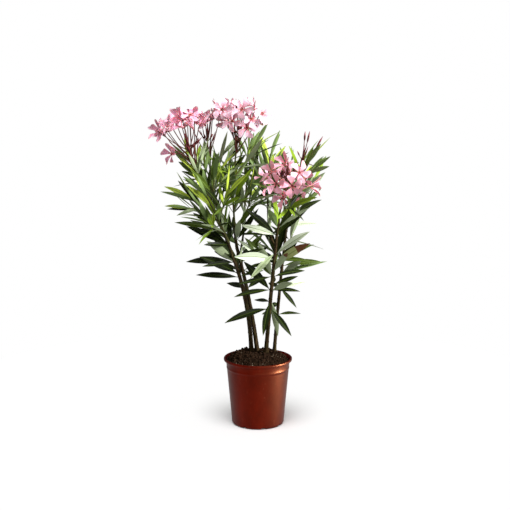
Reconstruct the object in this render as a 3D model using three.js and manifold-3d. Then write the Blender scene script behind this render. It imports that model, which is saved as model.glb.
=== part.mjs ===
// A potted oleander: four stems in a round nursery pot fork into boughs, which carry masses of
// lance-shaped leaves in whorls of three and heads of pink flowers.
// Millimetres, +Z up. The origin is the centre of the pot's flat underside; the front faces -Y.
import * as THREE from 'three';
import { mergeVertices } from 'three/addons/utils/BufferGeometryUtils.js';
import Module from 'manifold-3d';

const wasm = await Module();
wasm.setup();

// Driving sizes

const GAP = 0.3; // clearance between neighbouring pieces
const GUARD = 1.2; // how far a leaf stays from the wood and leaves of other masses

const pot = {
  rimRadius: 100,
  height: 197,
  baseRadius: 76.5,
  footRadius: 70,
  footHeight: 6,
  wall: 1.8,
  floor: 3,
  shoulderRadius: 91,
  shoulderHeight: 166,
  collarRadius: 92.5,
  collarHeight: 186,
  ringDepth: 1.1,
  ringHeight: 5,
  lipThickness: 4.5,
  sides: 32,
  notches: 8,
  notchWidth: 15,
  notchHeight: 5,
  notchReach: 20, // length across the wall of what cuts a notch
  notchTurn: 0.28, // place of the first notch, as a share of the step between notches
};

const soil = {
  edgeLevel: 191,
  heapLevel: 205,
  heapX: 14,
  heapY: 38,
  plateau: 0.62, // share of the way from the heap's middle to the wall that is level
  roughness: 3,
};

const leafShape = {
  widthShare: 0.166, // width over length
  thicknessShare: 1 / 80, // thickness over length
  stalk: 0.06, // width of the stalk over the widest
  belly: 0.44, // place of the widest section along the leaf
  free: 0.14, // place along the leaf beyond which it may touch nothing
};

const flowerShape = {
  radius: 31,
  rimPoints: 15, // three for each of the five petals
  notchShare: 0.42, // depth between petals, as a share of the radius
  cup: 0.26, // rise of the petal tips over the throat
  throat: 11, // length of the tube below the throat
  stalkRadius: 1.3,
  stalkStep: 0.1, // share of the stem between the feet of neighbouring stalks
  stalkLift: 0.06, // how far a stalk curves upward, as a share of its reach
  levelling: 0.3, // how much of its stalk's climb a flower keeps in the way it looks
  facingUp: 0.08, // how far it turns back towards the sky
  facingSwing: 0.35, // how far it turns aside, at random
  budSwell: 1.6, // how much thicker a bud is than its stalk
  budFrom: 0.7, // place along the stalk where the bud begins
  budTip: 0.5, // radius of a bud's blunt tip
  budSides: 3,
  budSteps: 4,
};

// Limbs. Each runs from a foot, or from a place on a parent limb, to its end; bow is how far its
// middle stands off the straight line.

const stemSides = 8;
const boughSides = 6;
const limbSteps = 5;
const flareHeight = 11; // mm in which the root flare fades
const buried = 8; // mm that a stem is drawn below its foot before the flat cut
const footLevel = soil.heapLevel + GAP;
const limbs = {
  stem_left: { foot: [-19.5, 42], to: [-78, -10, 516], bow: [12, 2, 4], radii: [6.6, 5], flare: 1.2 },
  stem_centre: { foot: [-2, 50], to: [-61, 25, 517], bow: [5, -2, 2], radii: [6.6, 5], flare: 1.4 },
  stem_right_front: { foot: [24, 28], to: [52, -26, 545], bow: [-1, -5, 0], radii: [6.4, 4.6], flare: 3.4 },
  stem_right_back: { foot: [49, 45], to: [82, 55, 559], bow: [-2, -3, 0], radii: [5, 3.9], flare: 1.6 },
  bough_left: { on: 'stem_left', at: 1, to: [-103, -28, 578], bow: [1, 1, 1], radii: [4.4, 3.6] },
  bough_inner: { on: 'stem_left', at: 0.96, to: [-103, 24, 588], bow: [-4, -4, 0], radii: [3.4, 2.8] },
  bough_front: { on: 'stem_left', at: 0.8, to: [-82, -64, 548], bow: [0, -6, -8], radii: [3.2, 2.6] },
  bough_centre: { on: 'stem_centre', at: 1, to: [-67, 20, 584], bow: [-1, 1, 0], radii: [4.4, 3.8] },
  bough_rear: { on: 'stem_centre', at: 0.9, to: [-40, 82, 574], bow: [0, 8, -6], radii: [3.4, 2.8] },
  bough_right: { on: 'stem_right_front', at: 1, to: [59, -36, 596], bow: [-1, 1, 0], radii: [4.3, 3.6] },
  bough_mid: { on: 'stem_right_front', at: 0.95, to: [30, 24, 594], bow: [-4, 2, -4], radii: [3.2, 2.7] },
  bough_far_right: { on: 'stem_right_back', at: 1, to: [95, 58, 612], bow: [-1, 0, 0], radii: [3.7, 3.2] },
  bough_outer: { on: 'stem_right_back', at: 0.86, to: [106, 94, 566], bow: [4, 6, -6], radii: [3, 2.5] },
};

// Masses. Each grows on from its bough's tip to its own tip; sides is how many side shoots leave
// its stem, turn is the compass angle of the first. Flowers are given from the stem's tip by
// compass angle, height angle and reach; buds likewise.

const masses = [
  {
    name: 'foliage_left', on: 'bough_left', tip: [-192, -66, 806], bow: [-2, 2, 0], leafTo: 0.76,
    sides: 3, turn: 190, reach: 100,
    flowers: [[205, 49, 91], [175, 36, 91], [189, 33, 94], [206, -9, 51], [240, 62, 78], [44, 71, 96],
      [122, 41, 115], [136, 29, 108], [192, 71, 89], [98, 43, 121], [65, 85, 98], [111, 65, 97]],
    buds: [[182, 34, 111], [211, 14, 60]],
  },
  {
    name: 'foliage_inner', on: 'bough_inner', tip: [-146, 66, 822], bow: [-8, 8, 0], leafTo: 0.72,
    sides: 3, turn: 120, reach: 92,
    flowers: [[306, 77, 79], [251, 62, 72], [18, 74, 97], [69, 55, 87], [104, 60, 70]],
    buds: [[271, 49, 54]],
  },
  {
    name: 'foliage_front', on: 'bough_front', tip: [-146, -120, 694], bow: [2, -6, 0], leafTo: 1,
    sides: 2, turn: 215, reach: 84,
    flowers: [],
    buds: [],
  },
  {
    name: 'foliage_centre', on: 'bough_centre', tip: [-54, 5, 846], bow: [-9, -2, 0], leafTo: 0.72,
    sides: 4, turn: 330, reach: 104,
    flowers: [[229, 46, 100], [212, 63, 78], [259, 25, 98], [275, 34, 133], [295, 29, 95],
      [316, 34, 109], [289, 17, 74], [1, 59, 83], [100, 49, 81], [55, 29, 74], [129, 31, 70]],
    buds: [[160, 85, 101], [11, 63, 108]],
  },
  {
    name: 'foliage_rear', on: 'bough_rear', tip: [-18, 134, 778], bow: [-6, 8, 0], leafTo: 1,
    sides: 3, turn: 60, reach: 84,
    flowers: [],
    buds: [[180, 87, 41]],
  },
  {
    name: 'foliage_mid', on: 'bough_mid', tip: [36, 64, 786], bow: [-4, 4, 0], leafTo: 1,
    sides: 2, turn: 330, reach: 78,
    flowers: [],
    buds: [],
  },
  {
    name: 'foliage_right', on: 'bough_right', tip: [82, -66, 728], bow: [-4, 2, 0], leafTo: 0.74,
    sides: 3, turn: 300, reach: 100,
    flowers: [[221, 18, 65], [247, 65, 46], [318, 25, 46], [348, -18, 68], [256, -42, 69],
      [195, -20, 66], [242, -7, 71], [280, -13, 65], [11, -50, 47], [78, 14, 55], [111, -4, 62],
      [43, -8, 66], [154, -1, 60]],
    buds: [[78, 83, 51]],
  },
  {
    name: 'foliage_far_right', on: 'bough_far_right', tip: [129, 66, 768], bow: [-3, 2, 0], leafTo: 1,
    sides: 3, turn: 10, reach: 100,
    flowers: [],
    buds: [[29, 84, 85], [344, 76, 88], [0, 50, 92], [353, -21, 52]],
  },
  {
    name: 'foliage_outer', on: 'bough_outer', tip: [128, 130, 700], bow: [4, 2, 0], leafTo: 1,
    sides: 2, turn: 90, reach: 76,
    flowers: [],
    buds: [],
  },
];

// Whorls of leaves on the bare lower limbs: place along the limb, and for each leaf its compass
// angle, its angle from the limb, its length and its roll about its own line.

const whorls = [
  { on: 'stem_left', at: 0.73, ways: [[182, 66, 125, -49], [36, 96, 81, 35], [95, 84, 112, 40]] },
  { on: 'stem_left', at: 0.77, ways: [[188, 40, 132, -78], [70, 70, 116, -40]] },
  { on: 'stem_left', at: 0.88, ways: [[181, 64, 140, -35], [208, 23, 120, 67], [40, 78, 112, 38],
    [118, 74, 112, -34]] },
  { on: 'bough_left', at: 0.3, ways: [[175, 43, 131, -29], [143, 44, 120, -14], [60, 60, 112, 40],
    [227, 60, 88, -52]] },
  { on: 'bough_left', at: 0.75, ways: [[168, 26, 118, -20], [154, 47, 113, -14], [95, 48, 112, -36],
    [320, 40, 112, 44]] },
  { on: 'bough_inner', at: 0.45, ways: [[150, 50, 118, 36], [30, 55, 112, -40], [265, 42, 112, 42]] },
  { on: 'bough_front', at: 0.4, ways: [[191, 73, 90, -26], [14, 66, 101, 27], [110, 70, 108, 30]] },
  { on: 'stem_centre', at: 0.6, ways: [[60, 86, 112, 38], [120, 84, 112, -32]] },
  { on: 'stem_centre', at: 0.78, ways: [[337, 122, 77, 44], [90, 78, 112, -40], [193, 53, 96, -50],
    [22, 84, 85, 37]] },
  { on: 'stem_centre', at: 0.86, ways: [[11, 47, 115, 42], [204, 28, 127, 55], [285, 50, 118, 40],
    [26, 80, 98, 43]] },
  { on: 'bough_centre', at: 0.35, ways: [[355, 41, 117, 52], [187, 29, 118, -53], [95, 56, 112, 36],
    [285, 44, 116, -40]] },
  { on: 'bough_centre', at: 0.8, ways: [[20, 40, 118, 38], [230, 40, 116, -36], [140, 46, 112, 36]] },
  { on: 'bough_rear', at: 0.4, ways: [[80, 70, 116, -36], [200, 66, 110, 42], [320, 60, 114, 40]] },
  { on: 'bough_rear', at: 0.75, ways: [[30, 52, 116, 38], [150, 52, 112, -38], [270, 46, 112, 42]] },
  { on: 'stem_right_front', at: 0.4, ways: [[184, 102, 130, -37], [336, 129, 93, 60],
    [75, 95, 100, 36]] },
  { on: 'stem_right_front', at: 0.46, ways: [[246, 152, 89, -20], [29, 160, 107, -54],
    [120, 104, 92, -36]] },
  { on: 'stem_right_front', at: 0.57, ways: [[186, 96, 106, -31], [174, 44, 127, -74],
    [312, 50, 96, -76], [341, 71, 86, 38]] },
  { on: 'stem_right_front', at: 0.62, ways: [[85, 90, 100, 34], [356, 61, 79, 44]] },
  { on: 'stem_right_front', at: 0.69, ways: [[199, 101, 100, -33], [17, 69, 96, 33],
    [110, 80, 110, -38], [192, 20, 124, 58]] },
  { on: 'stem_right_front', at: 0.74, ways: [[162, 42, 138, -33], [23, 31, 124, 35],
    [299, 37, 112, -33]] },
  { on: 'stem_right_front', at: 0.79, ways: [[351, 40, 136, 71], [170, 60, 131, -50],
    [70, 70, 112, 40]] },
  { on: 'stem_right_front', at: 0.84, ways: [[191, 75, 135, -77], [47, 15, 125, 23],
    [343, 78, 103, 38]] },
  { on: 'stem_right_front', at: 0.89, ways: [[217, 125, 97, -52], [357, 44, 126, 55],
    [100, 66, 112, -40], [150, 56, 112, 36]] },
  { on: 'bough_right', at: 0.35, ways: [[184, 75, 107, -55], [15, 40, 137, 39], [165, 55, 121, -38],
    [357, 15, 116, 60]] },
  { on: 'bough_right', at: 0.8, ways: [[230, 40, 112, 44], [350, 40, 116, -44], [110, 44, 110, 36]] },
  { on: 'bough_mid', at: 0.5, ways: [[40, 60, 116, 38], [160, 60, 116, -36], [280, 48, 114, 42]] },
  { on: 'stem_right_back', at: 0.31, ways: [[9, 82, 77, 34], [120, 100, 96, 32]] },
  { on: 'stem_right_back', at: 0.53, ways: [[329, 126, 69, 52], [10, 77, 110, 27],
    [110, 90, 104, -34]] },
  { on: 'stem_right_back', at: 0.66, ways: [[359, 66, 138, 25], [310, 55, 99, -40],
    [90, 82, 108, 36]] },
  { on: 'stem_right_back', at: 0.72, ways: [[357, 69, 113, 50], [170, 70, 112, -36],
    [100, 66, 114, 34], [169, 59, 106, -47]] },
  { on: 'stem_right_back', at: 0.78, ways: [[7, 53, 101, 47], [150, 64, 110, 38],
    [176, 37, 118, -51]] },
  { on: 'bough_far_right', at: 0.3, ways: [[5, 69, 115, 29], [225, 52, 116, -40],
    [105, 54, 112, 36], [285, 46, 116, 44]] },
  { on: 'bough_far_right', at: 0.75, ways: [[20, 36, 120, 40], [250, 40, 114, -42],
    [140, 44, 112, 34]] },
  { on: 'bough_outer', at: 0.5, ways: [[30, 66, 116, 36], [150, 62, 112, -38], [270, 58, 112, 40]] },
];

// The space of the crown: its furthest reach to the left, right, front and back by height.

const crownSpace = [
  { z: 220, left: -110, right: 110, front: -110, back: 120 },
  { z: 330, left: -100, right: 140, front: -130, back: 150 },
  { z: 420, left: -190, right: 165, front: -170, back: 190 },
  { z: 480, left: -222, right: 208, front: -200, back: 215 },
  { z: 580, left: -205, right: 180, front: -215, back: 235 },
  { z: 670, left: -278, right: 190, front: -225, back: 245 },
  { z: 780, left: -272, right: 204, front: -215, back: 240 },
  { z: 850, left: -260, right: 214, front: -180, back: 200 },
  { z: 900, left: -200, right: 190, front: -120, back: 140 },
];

const growth = {
  internode: 56, // mm between whorls of leaves
  stagger: 2.6, // mm between the three leaves of a whorl along the shoot
  leafLength: 124,
  tipShare: 0.74, // length of a leaf at a shoot's tip over one at its foot
  lengthSwing: 0.12,
  tipSpread: 12, // degrees between a leaf and its shoot at the shoot's tip
  lowSpread: 42, // the same at the foot of the mass
  spreadSwing: 11,
  compassSwing: 16,
  rollSwing: 42, // degrees by which a leaf is rolled at most about its own line
  sag: 0.11, // droop of a leaf's tip as a share of its length
  sagRange: [0.5, 1.5], // the least and the most of it
  whorlSagRange: [0.3, 1.4],
  turns: [0, 18, -18, 36, -36], // degrees that a leaf is turned on by where its place is taken
  massRadii: [3, 1.9],
  massSides: 4,
  massSteps: 3,
  bareFoot: 0.05, // share of a mass's stem below its first leaves
};

const seedTurn = 137; // degrees that the first whorl is turned by from one shoot to the next

const sideShoot = {
  radii: [2.3, 1.5],
  sides: 3,
  steps: 2,
  zone: [0.08, 0.6], // the stretch of the mass's stem that side shoots leave from
  spread: [28, 40], // degrees from the stem
  reachSwing: 0.15,
  lift: 0.07, // how far a side shoot curves upward, as a share of its reach
  bareFoot: 0.2,
  goldenTurn: 137.5, // degrees between one side shoot and the next
  retryTurn: 20, // degrees that one is turned on by where it would touch its neighbours
  retries: 6,
};

const collar = {
  sides: 5,
  height: 6,
  wall: 2,
  clearance: 0.9, // a limb's straight lengths stand up to half a millimetre off its curve
  rootShare: 0.3, // how deep in the collar's wall its leaves start
};

// Small helpers

const UP = new THREE.Vector3(0, 0, 1);
const vec = (p) => new THREE.Vector3(...p);
const lerp = THREE.MathUtils.lerp;
const radians = THREE.MathUtils.degToRad;

// A repeatable number from 0 to 1 for three counting numbers.
function chance(i, j, k) {
  const wave = Math.sin(i * 127.1 + j * 311.7 + k * 74.7) * 43758.5453;
  return wave - Math.floor(wave);
}

// The same, from -1 to 1.
const sway = (i, j, k) => 2 * chance(i, j, k) - 1;

function solidOf(geometry) {
  geometry.deleteAttribute('normal');
  geometry.deleteAttribute('uv');
  const merged = mergeVertices(geometry, 1e-4);
  return new wasm.Manifold(new wasm.Mesh({
    numProp: 3,
    vertProperties: new Float32Array(merged.attributes.position.array),
    triVerts: new Uint32Array(merged.index.array),
  }));
}

// The largest of a solid's loose bodies, so that no crumb is left by a cut.
function largestBody(solid) {
  const bodies = solid.decompose();
  return bodies.reduce((best, body) => (body.volume() > best.volume() ? body : best));
}

function geometryOf(solid) {
  const cut = solid.getMesh();
  const geometry = new THREE.BufferGeometry();
  geometry.setAttribute('position', new THREE.BufferAttribute(new Float32Array(cut.vertProperties), 3));
  geometry.setIndex(new THREE.BufferAttribute(new Uint32Array(cut.triVerts), 1));
  geometry.computeVertexNormals();
  return geometry;
}

// A curve from one point to another whose middle stands off the straight line by bow.
function bowed(from, to, bow) {
  const control = from.clone().add(to).multiplyScalar(0.5).addScaledVector(bow, 2);
  return new THREE.QuadraticBezierCurve3(from, control, to);
}

// The outward direction at a compass angle (0 is +X, 90 is +Y) square to an axis.
function outward(axis, degrees) {
  const level = Math.abs(axis.x) < 0.9 ? new THREE.Vector3(1, 0, 0) : new THREE.Vector3(0, 0, 1);
  const east = level.addScaledVector(axis, -level.dot(axis)).normalize();
  const north = new THREE.Vector3().crossVectors(axis, east);
  const turn = radians(degrees);
  return east.multiplyScalar(Math.cos(turn)).addScaledVector(north, Math.sin(turn));
}

// The direction at a spread angle from an axis, towards a compass angle.
function leaning(axis, degrees, spread) {
  const lean = radians(spread);
  return outward(axis, degrees).multiplyScalar(Math.sin(lean)).addScaledVector(axis, Math.cos(lean));
}

// The direction of a bowed curve, also a little past its ends.
function axisAt(curve, t) {
  const leaving = curve.v1.clone().sub(curve.v0).multiplyScalar(1 - t);
  const arriving = curve.v2.clone().sub(curve.v1).multiplyScalar(t);
  return leaving.add(arriving).normalize();
}

// A round or few-sided limb: a closed cylinder whose rings are carried along a curve, from
// place start to place end on it.
function tube(curve, radiusAt, sides, steps, start = 0, end = 1) {
  const geometry = new THREE.CylinderGeometry(1, 1, 1, sides, steps);
  const place = geometry.attributes.position;
  for (let i = 0; i < place.count; i += 1) {
    const t = lerp(start, end, 0.5 - place.getY(i));
    const axis = axisAt(curve, t);
    const east = outward(axis, 0);
    const north = outward(axis, 90);
    const radius = radiusAt(t);
    const point = curve.getPoint(t)
      .addScaledVector(east, place.getX(i) * radius)
      .addScaledVector(north, place.getZ(i) * radius);
    place.setXYZ(i, point.x, point.y, point.z);
  }
  return solidOf(geometry);
}

// Pot and soil

const innerRadius = (z) => {
  const share = (z - pot.footHeight) / (pot.shoulderHeight - pot.footHeight);
  return lerp(pot.baseRadius, pot.shoulderRadius, share) - pot.wall;
};

function makePot() {
  const { rimRadius, height, footRadius, footHeight, wall, collarRadius, collarHeight } = pot;
  const ringTop = pot.shoulderHeight + pot.ringHeight;
  const lipFoot = collarHeight + 3;
  const outline = [
    [0, 0],
    [footRadius, 0],
    [footRadius + 4.6, 1.6],
    [pot.baseRadius, footHeight],
    [pot.shoulderRadius, pot.shoulderHeight],
    [pot.shoulderRadius + pot.ringDepth, pot.shoulderHeight + 1.5],
    [pot.shoulderRadius + pot.ringDepth, ringTop],
    [collarRadius, collarHeight],
    [rimRadius - 4, lipFoot],
    [rimRadius - 0.6, lipFoot + 2],
    [rimRadius, height - 3.2],
    [rimRadius - 1.4, height - 0.5],
    [rimRadius - pot.lipThickness, height],
    [rimRadius - pot.lipThickness - 2.2, height - 3.5],
    [collarRadius - wall, collarHeight],
    [innerRadius(pot.shoulderHeight), pot.shoulderHeight],
    [innerRadius(footHeight), footHeight],
    [footRadius, pot.floor],
    [0, pot.floor],
  ];
  const shell = new THREE.LatheGeometry(outline.map(([r, y]) => new THREE.Vector2(r, y)), pot.sides);
  shell.rotateX(Math.PI / 2);
  let solid = solidOf(shell);
  for (let i = 0; i < pot.notches; i += 1) {
    const notch = new THREE.BoxGeometry(pot.notchReach, pot.notchWidth, 2 * pot.notchHeight);
    notch.translate(pot.baseRadius, 0, 0);
    notch.rotateZ((i + pot.notchTurn) * 2 * Math.PI / pot.notches);
    solid = solid.subtract(solidOf(notch));
  }
  return solid;
}

// A plug of soil that fills the pot, with a heap of it round the stems.
function makeSoil() {
  const { sides } = pot;
  const rings = [
    { share: 1, level: pot.floor + GAP, radius: pot.footRadius - GAP },
    { share: 1, level: pot.footHeight + GAP, radius: innerRadius(pot.footHeight) - GAP },
    { share: 1, level: pot.shoulderHeight, radius: innerRadius(pot.shoulderHeight) - GAP },
    { share: 1, level: soil.edgeLevel - 3, radius: pot.collarRadius - pot.wall - 2 * GAP },
    { share: 0.9, heap: true },
    { share: 0.76, heap: true },
    { share: soil.plateau, heap: true },
  ];
  const wallRadius = pot.collarRadius - pot.wall - 2 * GAP;
  const places = [];
  for (const ring of rings) {
    for (let i = 0; i < sides; i += 1) {
      const turn = i * 2 * Math.PI / sides;
      const radius = ring.radius ?? wallRadius;
      let x = radius * Math.cos(turn);
      let y = radius * Math.sin(turn);
      let z = ring.level;
      if (ring.heap) {
        x = lerp(soil.heapX, x, ring.share);
        y = lerp(soil.heapY, y, ring.share);
        const fall = (ring.share - soil.plateau) / (1 - soil.plateau);
        const slope = 0.5 + 0.5 * Math.cos(Math.PI * fall);
        z = lerp(soil.edgeLevel, soil.heapLevel, slope) - soil.roughness * fall * chance(i, 3, 5);
      }
      places.push(x, y, z);
    }
  }
  const floorCentre = places.length / 3;
  places.push(0, 0, pot.floor + GAP);
  const topCentre = floorCentre + 1;
  places.push(soil.heapX, soil.heapY, soil.heapLevel);
  const faces = [];
  for (let ring = 0; ring < rings.length - 1; ring += 1) {
    for (let i = 0; i < sides; i += 1) {
      const a = ring * sides + i;
      const b = ring * sides + (i + 1) % sides;
      faces.push(a, b, b + sides, a, b + sides, a + sides);
    }
  }
  const last = (rings.length - 1) * sides;
  for (let i = 0; i < sides; i += 1) {
    const next = (i + 1) % sides;
    faces.push(floorCentre, next, i);
    faces.push(topCentre, last + i, last + next);
  }
  const geometry = new THREE.BufferGeometry();
  geometry.setAttribute('position', new THREE.Float32BufferAttribute(places, 3));
  geometry.setIndex(faces);
  return solidOf(geometry);
}

// Leaves and flowers

// A lance-shaped leaf: three-sided sections along a line that droops, ending in a point. For
// testing what it would touch, grow makes it wider and thicker all round, and from leaves out
// that share of it at its root.
function makeLeaf({ root, direction, side, length, sag }, grow = 0, from = 0) {
  const { stalk, belly } = leafShape;
  const sections = [from, belly];
  const widths = [lerp(stalk, 1, from / belly), 1];
  const under = new THREE.Vector3().crossVectors(side, direction).normalize();
  const half = 0.5 * length * leafShape.widthShare;
  const thickness = length * leafShape.thicknessShare;
  const along = (s) => root.clone()
    .addScaledVector(direction, s * length)
    .addScaledVector(UP, -sag * length * s * s);
  const places = [];
  sections.forEach((s, i) => {
    const middle = along(s);
    const reach = half * widths[i] + grow;
    const rise = 0.5 * thickness + grow;
    for (const [across, over] of [[-reach, -0.4 * rise], [reach, -0.4 * rise], [0, rise]]) {
      places.push(middle.clone().addScaledVector(side, across).addScaledVector(under, over));
    }
  });
  places.push(along(1 + grow / length));
  const faces = [0, 1, 2];
  for (let ring = 0; ring < sections.length - 1; ring += 1) {
    for (let i = 0; i < 3; i += 1) {
      const a = 3 * ring + i;
      const b = 3 * ring + (i + 1) % 3;
      faces.push(a, a + 3, b + 3, a, b + 3, b);
    }
  }
  const last = 3 * (sections.length - 1);
  const tip = places.length - 1;
  for (let i = 0; i < 3; i += 1) faces.push(last + i, tip, last + (i + 1) % 3);
  const geometry = new THREE.BufferGeometry().setFromPoints(places);
  geometry.setIndex(faces);
  return solidOf(geometry);
}

// An open flower on its stalk: a three-sided stalk along a curve, which widens at its end into a
// cupped five-pointed star.
function makeFlower(curve, centre, facing, turn) {
  const { radius, rimPoints, notchShare, cup, stalkRadius } = flowerShape;
  const places = [];
  for (const t of [0, 1]) {
    const axis = axisAt(curve, t);
    for (let i = 0; i < 3; i += 1) {
      places.push(curve.getPoint(t).addScaledVector(outward(axis, 120 * i), stalkRadius));
    }
  }
  const rim = places.length;
  for (let i = 0; i < rimPoints; i += 1) {
    const reach = radius * (i % 3 === 0 ? notchShare : 1);
    const out = outward(facing, turn + i * 360 / rimPoints);
    places.push(centre.clone().addScaledVector(out, reach).addScaledVector(facing, cup * reach));
  }
  places.push(centre);
  const eye = places.length - 1;
  const faces = [0, 2, 1];
  for (let i = 0; i < 3; i += 1) {
    const next = (i + 1) % 3;
    faces.push(i, next, next + 3, i, next + 3, i + 3);
  }
  const neck = (i) => 3 + (Math.floor(3 * i / rimPoints) + nearest(places, rim, 3)) % 3;
  for (let i = 0; i < rimPoints; i += 1) {
    const next = (i + 1) % rimPoints;
    faces.push(eye, rim + i, rim + next);
    faces.push(neck(i), rim + next, rim + i);
    if (neck(i) !== neck(next)) faces.push(neck(i), neck(next), rim + next);
  }
  const geometry = new THREE.BufferGeometry().setFromPoints(places);
  geometry.setIndex(faces);
  return solidOf(geometry);
}

// Which of the three points from start on lies nearest to another point.
function nearest(places, point, start) {
  const far = [0, 1, 2].map((i) => places[start + i].distanceTo(places[point + 2]));
  return far.indexOf(Math.min(...far));
}

// A ring of a few sides round an axis, with flat ends.
function makeRing(centre, axis, innerRadius, outerRadius, height, sides) {
  const places = [];
  const corners = [[innerRadius, -0.5], [outerRadius, -0.5], [outerRadius, 0.5], [innerRadius, 0.5]];
  for (let i = 0; i < sides; i += 1) {
    const out = outward(axis, i * 360 / sides);
    for (const [radius, rise] of corners) {
      places.push(centre.clone().addScaledVector(out, radius).addScaledVector(axis, rise * height));
    }
  }
  const faces = [];
  for (let i = 0; i < sides; i += 1) {
    const next = (i + 1) % sides;
    for (let corner = 0; corner < 4; corner += 1) {
      const a = 4 * i + corner;
      const b = 4 * i + (corner + 1) % 4;
      const c = 4 * next + (corner + 1) % 4;
      const d = 4 * next + corner;
      faces.push(a, d, c, a, c, b);
    }
  }
  const geometry = new THREE.BufferGeometry().setFromPoints(places);
  geometry.setIndex(faces);
  return solidOf(geometry);
}

// Wood

// Everything made so far, with its owner, for testing what a new twig or leaf would touch.
const made = [];

function keep(owner, solid) {
  made.push({ owner, solid, box: solid.boundingBox() });
}

const boxesMeet = (a, b) => [0, 1, 2].every((i) => a.min[i] < b.max[i] && b.min[i] < a.max[i]);

// Whether a solid is clear of all that is made, or of all for which a test of its owner holds.
function isClear(solid, counts = () => true) {
  const box = solid.boundingBox();
  return made.every((other) => !counts(other.owner) || !boxesMeet(other.box, box)
    || other.solid.intersect(solid).isEmpty());
}

// Whether a point lies in the crown's space.
function inSpace(point) {
  const next = crownSpace.findIndex(({ z }) => z > point.z);
  if (next < 1) return false;
  const [low, high] = [crownSpace[next - 1], crownSpace[next]];
  const share = (point.z - low.z) / (high.z - low.z);
  const limit = (way) => lerp(low[way], high[way], share);
  return point.x > limit('left') && point.x < limit('right')
    && point.y > limit('front') && point.y < limit('back');
}

// A leaf may stand where its tip is in the crown's space, all of it is clear of other masses, and
// all but its stalk is clear of its own.
function leafMayStand(leaf, name) {
  const tip = leaf.root.clone().addScaledVector(leaf.direction, leaf.length);
  return inSpace(tip)
    && isClear(makeLeaf(leaf, GUARD), (owner) => owner !== name)
    && isClear(makeLeaf(leaf, GUARD, leafShape.free), (owner) => owner === name);
}

// Limbs by name, each with its curve, its radius along it, its solid and the solid that its
// neighbours are cut by, which stands one gap proud of it.
const wood = {};

function growLimb([name, { foot, on, at, to, bow, radii, flare = 0 }]) {
  const from = foot ? vec([...foot, footLevel]) : wood[on].curve.getPoint(at);
  const curve = bowed(from, vec(to), vec(bow));
  const length = curve.getLength();
  const radiusAt = (t) => lerp(...radii, t) + flare * Math.exp(-Math.max(t, 0) * length / flareHeight);
  const start = foot ? -buried / length : 0;
  const sides = foot ? stemSides : boughSides;
  let solid = tube(curve, radiusAt, sides, limbSteps, start);
  if (foot) {
    const below = new THREE.BoxGeometry(8 * radii[0], 8 * radii[0], 4 * buried);
    below.translate(from.x, from.y, footLevel - 2 * buried);
    solid = solid.subtract(solidOf(below));
  }
  for (const other of Object.values(wood)) solid = solid.subtract(other.proud);
  solid = largestBody(solid);
  const end = 1 + GAP / length;
  const proud = tube(curve, (t) => radiusAt(t) + GAP, sides, limbSteps, start, end);
  wood[name] = { curve, length, radiusAt, solid, proud };
  keep(name, solid);
}

// Masses

// The shoots of a mass: its stem, then its side shoots, each turned on until it is clear.
function growShoots(mass, seed) {
  const { massRadii, massSides, massSteps, bareFoot } = growth;
  const stem = bowed(wood[mass.on].curve.getPoint(1), vec(mass.tip), vec(mass.bow));
  const shoots = [{ curve: stem, from: bareFoot, to: mass.leafTo, seed }];
  let solid = tube(stem, (t) => lerp(...massRadii, t), massSides, massSteps);
  solid = solid.subtract(wood[mass.on].proud);
  for (let j = 0; j < mass.sides; j += 1) {
    const place = lerp(...sideShoot.zone, (j + 0.5) / mass.sides);
    for (let tries = 0; tries < sideShoot.retries; tries += 1) {
      const compass = mass.turn + sideShoot.goldenTurn * j + sideShoot.retryTurn * tries;
      const curve = sideCurve(stem, place, compass, mass.reach, seed, j);
      const radiusAt = (t) => lerp(...sideShoot.radii, t);
      const guard = tube(curve, (t) => radiusAt(t) + GUARD, sideShoot.sides, sideShoot.steps);
      if (isClear(guard, (owner) => owner !== mass.name)) {
        shoots.push({ curve, from: sideShoot.bareFoot, to: 1, seed: seed + j + 1 });
        solid = solid.add(tube(curve, radiusAt, sideShoot.sides, sideShoot.steps));
        break;
      }
    }
  }
  return { shoots, solid };
}

// The line of the j-th side shoot, which leaves its stem at a spread angle and curves upward.
function sideCurve(stem, place, compass, reach, seed, j) {
  const from = stem.getPoint(place);
  const spread = lerp(...sideShoot.spread, chance(seed, j, 1));
  const length = reach * (1 + sideShoot.reachSwing * sway(seed, j, 2));
  const direction = leaning(axisAt(stem, place), compass, spread);
  const end = from.clone().addScaledVector(direction, length);
  return bowed(from, end, UP.clone().multiplyScalar(-sideShoot.lift * reach));
}

// The leaves of a shoot, whorl by whorl. Each is turned by a third of a circle from the next, and
// alternate whorls by a sixth; they stand closer to the shoot towards its tip.
function leavesOf({ curve, from, to, seed }) {
  const whorlCount = Math.max(2, Math.round(curve.getLength() * (to - from) / growth.internode));
  const leaves = [];
  for (let k = 0; k < whorlCount; k += 1) {
    const share = (k + 0.6) / whorlCount;
    const place = lerp(from, to, share);
    const axis = axisAt(curve, place);
    const spread = lerp(growth.lowSpread, growth.tipSpread, share);
    const size = lerp(1, growth.tipShare, share * share);
    for (let m = 0; m < 3; m += 1) {
      const compass = 60 * k + 120 * m + seedTurn * seed + growth.compassSwing * sway(seed, k, m);
      leaves.push(leafOn({
        point: curve.getPoint(place).addScaledVector(axis, growth.stagger * (m - 1)),
        axis,
        compass,
        spread: spread + growth.spreadSwing * sway(seed, k, m + 5),
        roll: growth.rollSwing * sway(seed, k, m + 17),
        length: growth.leafLength * size * (1 + growth.lengthSwing * sway(seed, k, m + 9)),
        sag: growth.sag * lerp(...growth.sagRange, chance(seed, k, m + 13)),
        order: k,
      }));
    }
  }
  return leaves;
}

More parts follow.
